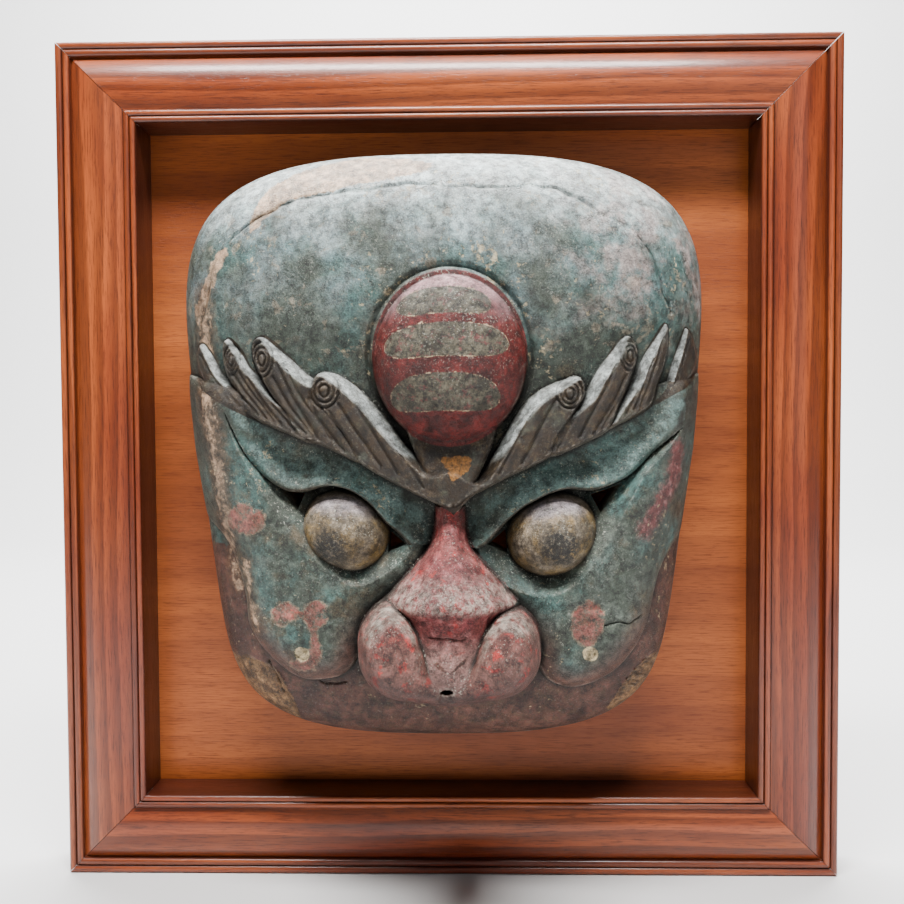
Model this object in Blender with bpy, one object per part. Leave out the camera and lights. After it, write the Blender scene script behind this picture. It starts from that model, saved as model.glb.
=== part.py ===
"""A carved and painted wooden beast mask on a board, inside a deep moulded frame.

The work hangs on a wall. It faces -Y, its flat back is the plane y = 0, and the origin is at the
middle of that back. Only the upper half of the mask survives, and it is left as it is.
"""

from math import cos, pi, radians, sin, sqrt

import bmesh
import bpy
import numpy as np

# Driving dimensions of the mask, in metres
MASK_HEIGHT = 0.458
MASK_WALL = 0.014           # thickness left between the front and the hollow
CHIN_STANDOFF = 0.044       # gap between the board and the rim at the bottom of the mask

# Driving dimensions of the board and the frame
FRAME_WIDTH = 0.6404
FRAME_HEIGHT = 0.6888
RAIL_WIDTH = 0.067          # across the moulding, from its outer to its inner edge
RECESS = 0.040              # how far the inner beads stand in front of the board
BOARD_THICKNESS = 0.014
REBATE = 0.009              # how far the board reaches in behind each rail
BOARD_PLAY = 0.0010         # gap round the edge of the board, in its rebate
SEAT_GAP = 0.0004           # gap between faces that touch

# The moulding: two beads outside, a wide swelling field, two beads inside
OUTER_BEAD = 0.0060         # width of one outer bead
INNER_BEAD = 0.0052         # width of one inner bead
BEAD_RISE = 0.0024          # how far a bead's crown stands above its own foot
OUTER_DROP = 0.0040         # how far the outer beads lie below the inner ones
FIELD_DROP = 0.0022         # how far the field starts below the outer beads' feet
FIELD_SWELL = 0.0065        # how far the field swells above the straight line across it
FILLET = 0.0008             # flat strip between the beads and the field
BEAD_STEPS = 5
FIELD_STEPS = 10

# The carving is drawn in 458ths of the mask's own height, so one step is a millimetre
DRAWN_HEIGHT = 458.0
MM = MASK_HEIGHT / DRAWN_HEIGHT

# Outline of the mask: a rounded square that narrows downwards
AXIS = 3.0                  # the carving's line of symmetry, right of the frame's middle
OUTLINE_X = -3.0
OUTLINE_Z = 12.0
HALF_HEIGHT = DRAWN_HEIGHT / 2
HALF_WIDTH = 198.5
WIDEN_ABOVE = 0.07          # half width gained for each step up from the outline's middle
NARROW_BELOW = 0.135
CROWN_POWER = 5.0
CHIN_POWER = 8.0
SIDE_POWER = 2.95

# Where the rim leaves the board below, and where it reaches its standoff
JAW_START = -108.0
JAW_END = -160.0

# Levels in front of the board
FOREHEAD_LEVEL = ((-300, 110), (0, 112), (40, 119), (75, 126), (110, 135), (150, 140), (300, 141))
CROWN_EDGE = 62.0
SIDE_EDGE = 44.0
CHIN_EDGE = 58.0
DOME_POWER = 4.2            # a higher power keeps the front flatter and its rim rounder

# Boss on the forehead
BOSS_AT = (4.0, 78.0)
BOSS_HALF = (55.0, 62.0)
BOSS_LEVEL = 161.0
BOSS_FOOT = 126.0
BOSS_GROOVE = 4.0

# Brows, as distances out from the axis and heights: lower edge, foot of the lobes, lobes
BROW_LOWER = ((0, -28), (12, -24), (45, -7), (80, 8), (120, 29), (160, 48), (178, 60), (205, 74))
BROW_FEET = ((0, 2), (16, 14), (60, 48), (100, 66), (142, 78), (165, 80), (205, 92))
BROW_LOBES = ((89, 56, 15, -43), (134, 80, 16, -50), (160, 83, 13, -57), (183, 84, 12, -62))
LOBE_LENGTH = 60.0
LOBE_SPREAD = 1.45          # how much wider a lobe is at its foot than at its tip
BROW_LEVEL = 126.0
BROW_RISE = 13.0
BROW_BEVEL = 7.0
BROW_DROP = 3.0             # width of the steep lower edge
RIGHT_LOBE_LIFT = 10.0      # the outer lobes sit higher on the right
LIFT_START = 125.0          # how far out that begins, and how far out it is whole
LIFT_END = 160.0
SCROLL_SHARE = 0.45         # radius of a scroll's eye as a share of its lobe
CUT_DEPTH = 2.2             # depth of the cuts between lobes and round the scrolls
CUT_WIDTH = 1.7
BLADE_HALF = ((-300, 0), (-37, 0), (-22, 17), (0, 17))
BLADE_LEVEL = 131.0

# Eyes
LID_EDGE = ((0, -72), (28, -60), (46, -41), (60, -29), (74, -21), (88, -17), (102, -19),
            (112, -20), (124, -14), (136, -6), (154, 13), (172, 38), (205, 70))
SOCKET_FLOOR = ((0, -58), (24, -66), (36, -77), (54, -87), (74, -92), (88, -86), (104, -70),
                (117, -52), (127, -32), (138, -8), (150, 20), (205, 90))
SOCKET_LEVEL = 102.0
SOCKET_RISE = 40.0          # how far the ramp round a socket climbs, and where it starts and ends
RAMP_START = -9.0
RAMP_END = 3.0
SOCKET_BLEND = 4.0
LID_RISE = 17.0
LID_ROLL = 9.0
LID_SLOPE = 0.8             # share of a height that counts towards a lid's rounded edge
LID_TUCK = 10.0             # how far a lid runs on behind the brow
LID_SINK = 0.45             # share of its rise that a lid loses between two heights above its edge
SINK_START = 10.0
SINK_END = 45.0
EYE_AT = (77.0, -50.0)
EYE_HALF = (35.5, 31.0)
EYE_TILT = radians(29.0)
EYE_LEVEL = 133.0
OUTER_SLIT = ((107, -20), (127, -13), (111, -34))
INNER_SLIT = ((45, -46), (30, -57), (44, -64))
SLIT_FAR = 190.0

# Cheeks: round lobes below that run out to the side of the mask and up to the eye's corner
CHEEK_BARS = (((101.0, -113.0, 54.0), (158.0, 8.0, 18.0)),
              ((146.0, -74.0, 50.0), (200.0, 20.0, 40.0)),
              ((70.0, -104.0, 40.0), (40.0, -92.0, 30.0)))
CHEEK_BLEND = 24.0
CHEEK_RISE = 23.0
CHEEK_ROLL = 24.0

# Nose: a bridge that widens downwards, two round wings joined below by a bar, a tongue between
BRIDGE_HALF = ((-300, 55), (-101, 55), (-90, 47), (-78, 36), (-67, 26), (-55, 19), (-33, 13), (0, 12))
BRIDGE_TOP = ((-300, 160), (-106, 165), (-98, 171), (-80, 159), (-60, 145), (-33, 131), (0, 128))
BRIDGE_START = -29.0
BRIDGE_END = -106.0
TONGUE_START = -97.0
NOSE_FOOT = 100.0
NOWHERE = -200.0            # level given to a form outside its own outline
WING_AT = (43.5, -134.0)
WING_HALF = (29.5, 34.0)
WING_LEVEL = 178.0
BAR_HALF = 36.0
BAR_AT = -144.0
BAR_RADIUS = 30.0
BAR_LEVEL = 172.0
TONGUE_HALF = ((-300, 14), (-144, 18), (-132, 20), (-118, 27), (-108, 38), (-97, 50), (0, 60))
TONGUE_TOP = ((-300, 168), (-144, 170), (-118, 169), (-97, 170), (0, 170))

# The hollow behind deepens from the sockets' level to the forehead's between two heights, and is
# rounder towards its rim than the front is
HOLLOW_POWER = 3.2
HOLLOW_STEP = 20.0
HOLLOW_CROWN = 95.0

# Fineness of the meshes
FRONT_STEPS = 220
HOLLOW_STEPS = 22
MASK_TRIANGLES = 7600
FULL_CIRCLE = 720


def clear_scene():
    """Remove what the file opened with."""
    for item in list(bpy.data.objects):
        bpy.data.objects.remove(item, do_unlink=True)


def new_collection(name):
    """A collection linked to the scene."""
    collection = bpy.data.collections.new(name)
    bpy.context.scene.collection.children.link(collection)
    return collection


def new_material(name, colour, roughness, metallic=0.0):
    """A plain Principled material."""
    material = bpy.data.materials.new(name)
    material.use_nodes = True
    shader = material.node_tree.nodes["Principled BSDF"]
    shader.inputs["Base Color"].default_value = (*colour, 1.0)
    shader.inputs["Roughness"].default_value = roughness
    shader.inputs["Metallic"].default_value = metallic
    material.diffuse_color = (*colour, 1.0)
    return material


def new_object(name, bm, collection, material=None):
    """Turn a bmesh into an object."""
    mesh = bpy.data.meshes.new(name)
    bmesh.ops.recalc_face_normals(bm, faces=bm.faces)
    bm.to_mesh(mesh)
    bm.free()
    item = bpy.data.objects.new(name, mesh)
    collection.objects.link(item)
    if material:
        mesh.materials.append(material)
    return item


# Shaping functions, on arrays

def smooth_step(low, high, value):
    """0 below low, 1 above high, eased between."""
    share = np.clip((value - low) / (high - low), 0.0, 1.0)
    return share * share * (3.0 - 2.0 * share)


def soft_max(first, second, blend):
    """The larger of two surfaces, with a fillet of the given width where they meet."""
    share = np.clip(0.5 + 0.5 * (first - second) / blend, 0.0, 1.0)
    return second * (1.0 - share) + first * share + blend * share * (1.0 - share)


def soft_min(first, second, blend):
    """The smaller of two surfaces, with a fillet."""
    return -soft_max(-first, -second, blend)


def through(points, value):
    """A smooth curve through a few points, read at value."""
    along = np.array([point[0] for point in points], float)
    level = np.array([point[1] for point in points], float)
    slope = np.gradient(level, along)
    place = np.clip(np.searchsorted(along, value) - 1, 0, len(along) - 2)
    span = along[place + 1] - along[place]
    share = np.clip((value - along[place]) / span, 0.0, 1.0)
    rise = level[place + 1] - level[place]
    start, end = slope[place] * span, slope[place + 1] * span
    bend = share * (1.0 - share) * ((1.0 - share) * (start - rise) + share * (rise - end))
    return level[place] + rise * share + bend


def roll(inside, radius):
    """Height of a rounded edge, 0 on the edge and 1 at radius inside it."""
    share = np.clip(inside / radius, 0.0, 1.0)
    return np.sqrt(1.0 - (1.0 - share) ** 2)


def inside_cone(x, z, first, second):
    """How far a point is inside a bar with round ends of two radii."""
    run = np.array(second[:2], float) - np.array(first[:2], float)
    share = ((x - first[0]) * run[0] + (z - first[1]) * run[1]) / (run @ run)
    share = np.clip(share, 0.0, 1.0)
    away = np.hypot(x - first[0] - share * run[0], z - first[1] - share * run[1])
    return first[2] + share * (second[2] - first[2]) - away


def outline_reach():
    """Distance from the outline's middle to its edge, for every direction round it."""
    turn = np.linspace(-pi, pi, FULL_CIRCLE + 1)
    low, high = np.zeros_like(turn), np.full_like(turn, 2.0 * HALF_HEIGHT)
    for _ in range(40):
        middle = 0.5 * (low + high)
        x, z = middle * np.cos(turn), middle * np.sin(turn)
        power = np.where(z > 0.0, CROWN_POWER, CHIN_POWER)
        half = HALF_WIDTH + z * np.where(z > 0.0, WIDEN_ABOVE, NARROW_BELOW)
        level = np.abs(x / half) ** SIDE_POWER + np.abs(z / HALF_HEIGHT) ** power
        low = np.where(level < 1.0, middle, low)
        high = np.where(level < 1.0, high, middle)
    return turn, 0.5 * (low + high)


OUTLINE_TURN, OUTLINE_REACH = outline_reach()


def reach_at(turn):
    """The outline's reach in the given directions."""
    return np.interp(turn, OUTLINE_TURN, OUTLINE_REACH)


def edge_level(turn):
    """Level of the front's edge above the board, round the outline."""
    up = np.sin(turn)
    return np.where(up > 0.0, SIDE_EDGE + (CROWN_EDGE - SIDE_EDGE) * up ** 2,
                    SIDE_EDGE + (CHIN_EDGE - SIDE_EDGE) * up ** 2)


def lobe_lift(x):
    """How much higher the outer lobes sit on the right."""
    return RIGHT_LOBE_LIFT * smooth_step(LIFT_START, LIFT_END, x - AXIS)


def brow_height(x, z):
    """How far the brows stand out of their ground: 0 outside them."""
    out = np.abs(x - AXIS)
    lift = lobe_lift(x)
    below = z - through(BROW_LOWER, out)
    upper = [0.75 * (through(BROW_FEET, out) + lift - z)]
    cuts = np.zeros_like(z)
    for along, height, radius, slope in BROW_LOBES:
        end_x = along - LOBE_LENGTH * cos(radians(slope))
        end_z = height + LOBE_LENGTH * sin(radians(slope))
        lobe = inside_cone(out, z - lift, (along, height, radius), (end_x, end_z, LOBE_SPREAD * radius))
        upper.append(lobe)
        from_tip = np.hypot(out - along, z - lift - height) / LOBE_LENGTH
        outer_side = (out - along) * sin(radians(-slope)) > (z - lift - height) * cos(radians(slope))
        ring = np.hypot(out - along, z - lift - height) - SCROLL_SHARE * radius
        cuts = np.maximum(cuts, np.exp(-(ring / CUT_WIDTH) ** 2))
        cuts = np.maximum(cuts, np.exp(-(lobe / CUT_WIDTH) ** 2) * outer_side * (from_tip < 1.0))
    inside = np.maximum.reduce(upper)
    edge = np.minimum(inside / BROW_BEVEL, below / BROW_DROP)
    height = BROW_RISE * np.clip(edge, 0.0, 1.0)
    return height - CUT_DEPTH * cuts * smooth_step(0.5, 1.0, edge)


def eye_spread(x, z):
    """Squared distance from the eyeball's middle, 1 at its edge."""
    out = np.abs(x - AXIS) - EYE_AT[0]
    up = z - EYE_AT[1]
    along = out * cos(EYE_TILT) + up * sin(EYE_TILT)
    across = up * cos(EYE_TILT) - out * sin(EYE_TILT)
    return (along / EYE_HALF[0]) ** 2 + (across / EYE_HALF[1]) ** 2


def mound(spread, foot, top, power=2.6):
    """A full round form: top at spread 0, foot at spread 1, steep near its edge, nothing beyond."""
    round_form = foot + (top - foot) * np.sqrt(np.clip(1.0 - np.abs(spread) ** power, 0.0, 1.0))
    return np.where(np.abs(spread) < 1.0, round_form, NOWHERE)


def nose_level(x, z):
    """Surface of the nose, nowhere outside it."""
    out = np.abs(x - AXIS - 0.5)
    bridge = mound(out / np.maximum(through(BRIDGE_HALF, z), 1.0), NOSE_FOOT, through(BRIDGE_TOP, z), 2.8)
    bridge = np.where((z < BRIDGE_START) & (z > BRIDGE_END), bridge, NOWHERE)
    tongue = mound(out / through(TONGUE_HALF, z), NOSE_FOOT, through(TONGUE_TOP, z), 4.0)
    tongue = np.where((z > BAR_AT) & (z < TONGUE_START), tongue, NOWHERE)
    bar_away = np.hypot(np.maximum(out - BAR_HALF, 0.0), z - BAR_AT) / BAR_RADIUS
    bar = mound(bar_away, NOSE_FOOT, BAR_LEVEL)
    wing_away = np.hypot((out - WING_AT[0]) / WING_HALF[0], (z - WING_AT[1]) / WING_HALF[1])
    wing = mound(wing_away, NOSE_FOOT, WING_LEVEL)
    lower = soft_max(soft_max(bar, wing, 6.0), tongue, 3.0)
    return np.maximum(bridge, lower)


def front_level(x, z):
    """Level of the carved front above the board, in the drawing's steps."""
    out = np.abs(x - AXIS)
    turn = np.arctan2(z - OUTLINE_Z, x - OUTLINE_X)
    share = np.hypot(x - OUTLINE_X, z - OUTLINE_Z) / reach_at(turn)
    rim = edge_level(turn)
    fall = np.sqrt(np.clip(1.0 - share ** DOME_POWER, 0.0, 1.0))
    level = rim + (through(FOREHEAD_LEVEL, z) - rim) * fall
    ground = rim + (BROW_LEVEL - rim) * fall
    hold = np.clip(fall * 1.5, 0.0, 1.0)

    # Cheeks, with the sockets sunk between them and the lids
    low, side, inner = [inside_cone(out, z, first, second) for first, second in CHEEK_BARS]
    cheek = soft_max(soft_max(low, side, CHEEK_BLEND), inner, CHEEK_BLEND)
    level = level + CHEEK_RISE * roll(cheek, CHEEK_ROLL) * hold
    lid_edge = through(LID_EDGE, out)
    socket_in = np.minimum(lid_edge - z, z - through(SOCKET_FLOOR, out))
    socket = SOCKET_LEVEL + SOCKET_RISE * (1.0 - smooth_step(RAMP_START, RAMP_END, socket_in))
    level = soft_min(level, socket, SOCKET_BLEND)
    brow_edge = through(BROW_LOWER, out)
    lid_in = np.minimum(LID_SLOPE * (z - lid_edge), brow_edge + LID_TUCK - z)
    sink = LID_SINK * smooth_step(SINK_START, SINK_END, z - lid_edge)
    level = level + LID_RISE * roll(lid_in, LID_ROLL) * (1.0 - sink) * hold
    spread = eye_spread(x, z)
    level = np.maximum(level, mound(np.sqrt(spread), SOCKET_LEVEL - 6.0, EYE_LEVEL, 2.0))

    # The blade under the brows, and the brows
    blade = (through(BLADE_HALF, z) > out) & (z < BROW_FEET[0][1])
    level = np.where(blade, np.maximum(level, BLADE_LEVEL), level)
    raised = brow_height(x, z)
    level = np.where(raised > 0.0, np.maximum(level, ground + raised), level)

    # Boss, with a groove round it
    boss = np.hypot((x - BOSS_AT[0]) / BOSS_HALF[0], (z - BOSS_AT[1]) / BOSS_HALF[1])
    level = level - BOSS_GROOVE * np.exp(-((boss - 1.05) / 0.035) ** 2)
    level = np.maximum(level, mound(boss, BOSS_FOOT, BOSS_LEVEL))
    return soft_max(level, nose_level(x, z), 3.0)


def hollow_level(x, z):
    """Level of the hollow's smooth inside, a wall behind the front."""
    turn = np.arctan2(z - OUTLINE_Z, x - OUTLINE_X)
    wall = MASK_WALL / MM
    share = np.hypot(x - OUTLINE_X, z - OUTLINE_Z) / (reach_at(turn) - wall)
    fall = np.sqrt(np.clip(1.0 - share ** HOLLOW_POWER, 0.0, 1.0))
    low = SOCKET_LEVEL - wall
    high = through(FOREHEAD_LEVEL, np.full_like(z, HOLLOW_CROWN)) - wall
    crown = low + (high - low) * smooth_step(HOLLOW_STEP, HOLLOW_CROWN, z)
    rim = edge_level(turn) - wall
    return rim + (crown - rim) * fall


def board_front():
    """Where the board's front face is, along Y."""
    return -BOARD_THICKNESS


def domed_block(name, steps, inset, level_at, back, collection):
    """A closed block: a grid laid over the outline, raised by level_at, with straight sides."""
    bm = bmesh.new()
    bmesh.ops.create_grid(bm, x_segments=steps, y_segments=steps, size=1.0)
    bm.verts.ensure_lookup_table()
    across = np.array([vert.co.x for vert in bm.verts])
    up = np.array([vert.co.y for vert in bm.verts])
    turn = np.arctan2(up, across)
    reach = np.maximum(np.abs(across), np.abs(up)) * (reach_at(turn) - inset)
    x = OUTLINE_X + reach * np.cos(turn)
    z = OUTLINE_Z + reach * np.sin(turn)
    level = level_at(x, z)
    for vert, at_x, at_z, proud in zip(bm.verts, x, z, level):
        vert.co = (at_x * MM, board_front() - proud * MM, at_z * MM)
    border = [edge for edge in bm.edges if edge.is_boundary]
    sides = bmesh.ops.extrude_edge_only(bm, edges=border)["geom"]
    for vert in sides:
        if isinstance(vert, bmesh.types.BMVert):
            vert.co.y = back
    back_edges = [edge for edge in bm.edges if edge.is_boundary]
    bmesh.ops.contextual_create(bm, geom=back_edges)
    return new_object(name, bm, collection)


def prism(name, outline, place, near, far, collection):
    """A straight prism over a flat outline, placed by a function of the two flat values."""
    bm = bmesh.new()
    corners = [bm.verts.new(place(first, second, near)) for first, second in outline]
    face = bm.faces.new(corners)
    raised = bmesh.ops.extrude_face_region(bm, geom=[face])["geom"]
    moved = [vert for vert in raised if isinstance(vert, bmesh.types.BMVert)]
    for vert, (first, second) in zip(moved, outline):
        vert.co = place(first, second, far)
    return new_object(name, bm, collection)


def as_cutter(item):
    """Mark an object as a tool that only cuts."""
    item.display_type = "WIRE"
    item.hide_render = True
    return item


def cut(item, cutter):
    """Take a cutter's volume out of an object."""
    boolean = item.modifiers.new("cut " + cutter.name, "BOOLEAN")
    boolean.operation = "DIFFERENCE"
    boolean.object = cutter
    boolean.solver = "EXACT"


def build_mask(parts, cutters):
    """The carved shell of the mask, hollow behind and pierced at the corners of the eyes."""
    paint = new_material("worn green paint", (0.16, 0.22, 0.20), 0.55)
    mask = domed_block("mask", FRONT_STEPS, 0.0, front_level, board_front() - SEAT_GAP, parts)
    mask.data.materials.append(paint)
    thin = mask.modifiers.new("fewer faces", "DECIMATE")
    thin.ratio = MASK_TRIANGLES / (2.0 * FRONT_STEPS ** 2 + 8.0 * FRONT_STEPS)
    hollow = domed_block("hollow", HOLLOW_STEPS, MASK_WALL / MM, hollow_level,
                         board_front() + MASK_WALL, cutters)
    cut(mask, as_cutter(hollow))
    below, behind, standoff = -2.0 * HALF_HEIGHT, -MASK_WALL / MM, CHIN_STANDOFF / MM
    chin = ((below, behind), (JAW_START, behind), (JAW_END, standoff), (below, standoff))
    wide = 1.5 * HALF_WIDTH * MM
    chin_cut = prism("chin cut", chin, lambda z, proud, x: (x, board_front() - proud * MM, z * MM),
                     -wide, wide, cutters)
    cut(mask, as_cutter(chin_cut))
    for side in (-1, 1):
        for slit_name, slit in (("outer slit", OUTER_SLIT), ("inner slit", INNER_SLIT)):
            slit_cut = prism(slit_name, slit,
                             lambda out, z, y, side=side: ((AXIS + side * out) * MM, y, z * MM),
                             board_front(), board_front() - SLIT_FAR * MM, cutters)
            cut(mask, as_cutter(slit_cut))
    return mask


def bead(start, width, foot):
    """Points over a half-round bead, as distances across and levels above the board."""
    turns = [pi * step / BEAD_STEPS for step in range(BEAD_STEPS + 1)]
    return [(start + width * (1.0 - cos(turn)) / 2.0, foot + BEAD_RISE * sin(turn)) for turn in turns]


def moulding_profile():
    """Section of a rail: distance in from the frame's edge, and level above the board's front."""
    inner_foot = RECESS - BEAD_RISE
    outer_foot = inner_foot - OUTER_DROP
    field_foot = outer_foot - FIELD_DROP
    field_start = 2.0 * OUTER_BEAD + FILLET
    field_width = RAIL_WIDTH - 2.0 * INNER_BEAD - FILLET - field_start
    points = [(0.0, -BOARD_THICKNESS)]
    points += bead(0.0, OUTER_BEAD, outer_foot) + bead(OUTER_BEAD, OUTER_BEAD, outer_foot)[1:]
    for step in range(FIELD_STEPS + 1):
        share = step / FIELD_STEPS
        straight = field_foot + (inner_foot - FILLET - field_foot) * share
        points.append((field_start + field_width * share,
                       straight + FIELD_SWELL * sin(pi * share ** 0.85)))
    points += bead(RAIL_WIDTH - 2.0 * INNER_BEAD, INNER_BEAD, inner_foot)
    points += bead(RAIL_WIDTH - INNER_BEAD, INNER_BEAD, inner_foot)[1:]
    points += [(RAIL_WIDTH, SEAT_GAP), (RAIL_WIDTH - REBATE, SEAT_GAP),
               (RAIL_WIDTH - REBATE, -BOARD_THICKNESS)]
    return points


def build_rail(name, length, reach, turn, parts, varnish):
    """One rail, mitred at both ends, drawn as the bottom rail and turned into its place."""
    profile = moulding_profile()
    mitre = SEAT_GAP / sqrt(2.0)
    bm = bmesh.new()
    ends = []
    for side in (-1, 1):
        ends.append([bm.verts.new((side * (length / 2.0 - across - mitre),
                                   board_front() - level, across - reach))
                     for across, level in profile])
    bm.faces.new(ends[0])
    bm.faces.new(ends[1][::-1])
    for here in range(len(profile)):
        after = (here + 1) % len(profile)
        bm.faces.new((ends[0][here], ends[1][here], ends[1][after], ends[0][after]))
    rail = new_object(name, bm, parts, varnish)
    rail.rotation_euler = (0.0, turn, 0.0)
    return rail


def build_board(parts):
    """The board in the frame's rebate, level with the frame's back."""
    stain = new_material("orange brown board", (0.32, 0.12, 0.04), 0.35)
    inset = RAIL_WIDTH - REBATE + BOARD_PLAY
    bm = bmesh.new()
    bmesh.ops.create_cube(bm, size=1.0)
    size = (FRAME_WIDTH - 2.0 * inset, BOARD_THICKNESS, FRAME_HEIGHT - 2.0 * inset)
    bmesh.ops.scale(bm, vec=size, verts=bm.verts)
    bmesh.ops.translate(bm, vec=(0.0, -BOARD_THICKNESS / 2.0, 0.0), verts=bm.verts)
    return new_object("back_board", bm, parts, stain)


def main():
    clear_scene()
    parts = new_collection("ritual mask in frame")
    cutters = new_collection("cutters")
    build_mask(parts, cutters)
    build_board(parts)
    varnish = new_material("red brown varnish", (0.17, 0.045, 0.022), 0.25)
    for name, length, reach, turn in (("rail_bottom", FRAME_WIDTH, FRAME_HEIGHT / 2.0, 0.0),
                                      ("rail_left", FRAME_HEIGHT, FRAME_WIDTH / 2.0, pi / 2.0),
                                      ("rail_top", FRAME_WIDTH, FRAME_HEIGHT / 2.0, pi),
                                      ("rail_right", FRAME_HEIGHT, FRAME_WIDTH / 2.0, -pi / 2.0)):
        build_rail(name, length, reach, turn, parts, varnish)


main()
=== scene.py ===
"""Finish of a carved and painted wooden beast mask on its board, inside a deep moulded frame.

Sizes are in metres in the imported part's own frame. The carving is drawn in millimetres, as x to the
right, z up and a level in front of the board.
"""

from math import cos, pi, radians, sin, sqrt

import bmesh
import bpy
import numpy as np
from mathutils import Matrix, Vector


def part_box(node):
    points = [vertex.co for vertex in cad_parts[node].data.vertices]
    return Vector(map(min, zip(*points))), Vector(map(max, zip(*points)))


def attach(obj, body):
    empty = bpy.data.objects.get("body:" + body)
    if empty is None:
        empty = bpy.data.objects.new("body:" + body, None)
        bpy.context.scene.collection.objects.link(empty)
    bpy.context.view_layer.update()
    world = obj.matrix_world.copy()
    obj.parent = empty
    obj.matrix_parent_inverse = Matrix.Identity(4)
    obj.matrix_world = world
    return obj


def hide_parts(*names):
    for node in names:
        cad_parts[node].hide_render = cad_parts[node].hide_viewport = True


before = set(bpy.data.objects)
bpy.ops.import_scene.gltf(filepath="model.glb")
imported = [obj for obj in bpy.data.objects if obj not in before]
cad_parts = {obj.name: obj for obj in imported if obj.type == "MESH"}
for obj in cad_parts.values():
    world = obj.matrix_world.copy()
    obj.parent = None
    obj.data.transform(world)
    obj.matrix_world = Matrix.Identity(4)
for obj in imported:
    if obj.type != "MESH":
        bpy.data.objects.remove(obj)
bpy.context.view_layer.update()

bl_info = {
    "name": "Ritual mask in its frame",
    "version": (1, 0, 0),
    "blender": (4, 5, 0),
    "location": "View3D > Sidebar > Mask",
    "description": "Carved and painted mask, varnished board and moulded frame",
    "category": "Object",
}

MM = 0.001

# Board and frame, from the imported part
BOARD_LOW, BOARD_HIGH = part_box("back_board")
BOARD_FRONT = BOARD_LOW.y
RAIL_LOW, RAIL_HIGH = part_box("rail_bottom")
SIDE_LOW, SIDE_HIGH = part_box("rail_left")
FRAME_WIDTH = RAIL_HIGH.x - RAIL_LOW.x
FRAME_HEIGHT = SIDE_HIGH.z - SIDE_LOW.z
RAIL_WIDTH = RAIL_HIGH.z - RAIL_LOW.z
BOARD_THICKNESS = 0.014
RECESS = 0.040
REBATE = 0.009
SEAT_GAP = 0.0004

# The moulding
OUTER_BEAD = 0.0060
INNER_BEAD = 0.0052
BEAD_RISE = 0.0024
OUTER_DROP = 0.0040
FIELD_DROP = 0.0022
FIELD_SWELL = 0.0065
FILLET = 0.0008
BEAD_POINTS = 9
FIELD_POINTS = 22
GROOVE_HALF = 0.0016

# Outline of the mask
AXIS = 3.0
OUTLINE_X = -3.0
OUTLINE_Z = 12.0
HALF_HEIGHT = 229.0
HALF_WIDTH = 198.5
WIDEN_ABOVE = 0.07
NARROW_BELOW = 0.135
CROWN_POWER = 5.0
CHIN_POWER = 8.0
SIDE_POWER = 2.95
WALL = 14.0
CHIN_STANDOFF = 44.0
JAW_START = -108.0
JAW_END = -160.0

# Levels of the dome
FOREHEAD_LEVEL = ((-300, 110), (0, 112), (40, 119), (75, 126), (110, 135), (150, 140), (300, 141))
CROWN_EDGE = 62.0
SIDE_EDGE = 44.0
CHIN_EDGE = 58.0
DOME_POWER = 4.2
DOME_WAVE = 0.9             # height of the dome's hand-made unevenness, and its size
DOME_WAVE_SIZE = 46.0
HOLLOW_POWER = 3.2
HOLLOW_STEP = 20.0
HOLLOW_CROWN = 95.0
HOLLOW_LOW = 102.0

# Boss
BOSS_AT = (4.0, 79.0)
BOSS_HALF = (56.5, 63.5)
BOSS_LEVEL = 161.0
BOSS_FOOT = 120.0
BOSS_GROOVE = 3.0
GROOVE_AT = 1.05            # place and width of the groove, as shares of the boss
GROOVE_WIDTH = 0.035
BOSS_POWER = 2.4

# Brow lobes, inner one first: x, z and the width of the bevel there. Then their shared lower edge.
LEFT_LOBES = (
    ((14, -12, 3), (4, 0, 4), (-9, -1, 6), (-19, 7, 7), (-28, 15, 7), (-36, 26, 8), (-49, 43, 9), (-61, 56, 9),
     (-74, 66, 8), (-82, 69.5, 6), (-88, 70, 4), (-93, 68, 2.5), (-96, 63, 2), (-96, 55, 2.5), (-92, 44, 4),
     (-84, 32, 5), (-74, 19, 5), (-62, 3, 3), (-37, -12, 3), (-11, -25, 3), (6, -30, 3)),
    ((-84, 60, 8), (-97, 66, 7), (-104, 72, 8), (-110, 79, 9), (-117, 86, 9), (-123, 92, 8), (-129, 96, 5),
     (-134, 97, 3), (-139, 94, 2), (-141, 88, 2), (-141, 80, 2.5), (-138, 70, 4), (-130, 54, 5),
     (-118, 37, 5), (-108, 22, 4), (-88, 15, 3), (-62, 3, 3), (-55, 10, 5), (-66, 35, 8)),
    ((-134, 66, 6), (-142, 74, 6), (-145, 80, 7), (-148, 86, 7), (-154, 93, 6), (-159, 96.5, 4), (-163, 94, 2),
     (-165, 87, 2), (-165, 77, 2.5), (-162, 66, 4), (-154, 53, 5), (-144, 40, 5), (-137, 34, 3),
     (-114, 24, 3), (-96, 18, 3), (-104, 40, 5), (-122, 52, 5)),
    ((-160, 64, 5), (-167, 70, 5), (-171, 79, 6), (-176, 88, 6), (-182, 94, 4), (-188, 92, 4), (-191, 82, 5),
     (-189, 69, 6), (-182, 59, 6), (-172, 52, 4), (-163, 47, 3), (-152, 41, 3), (-130, 31, 3), (-140, 50, 5)),
)
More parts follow.
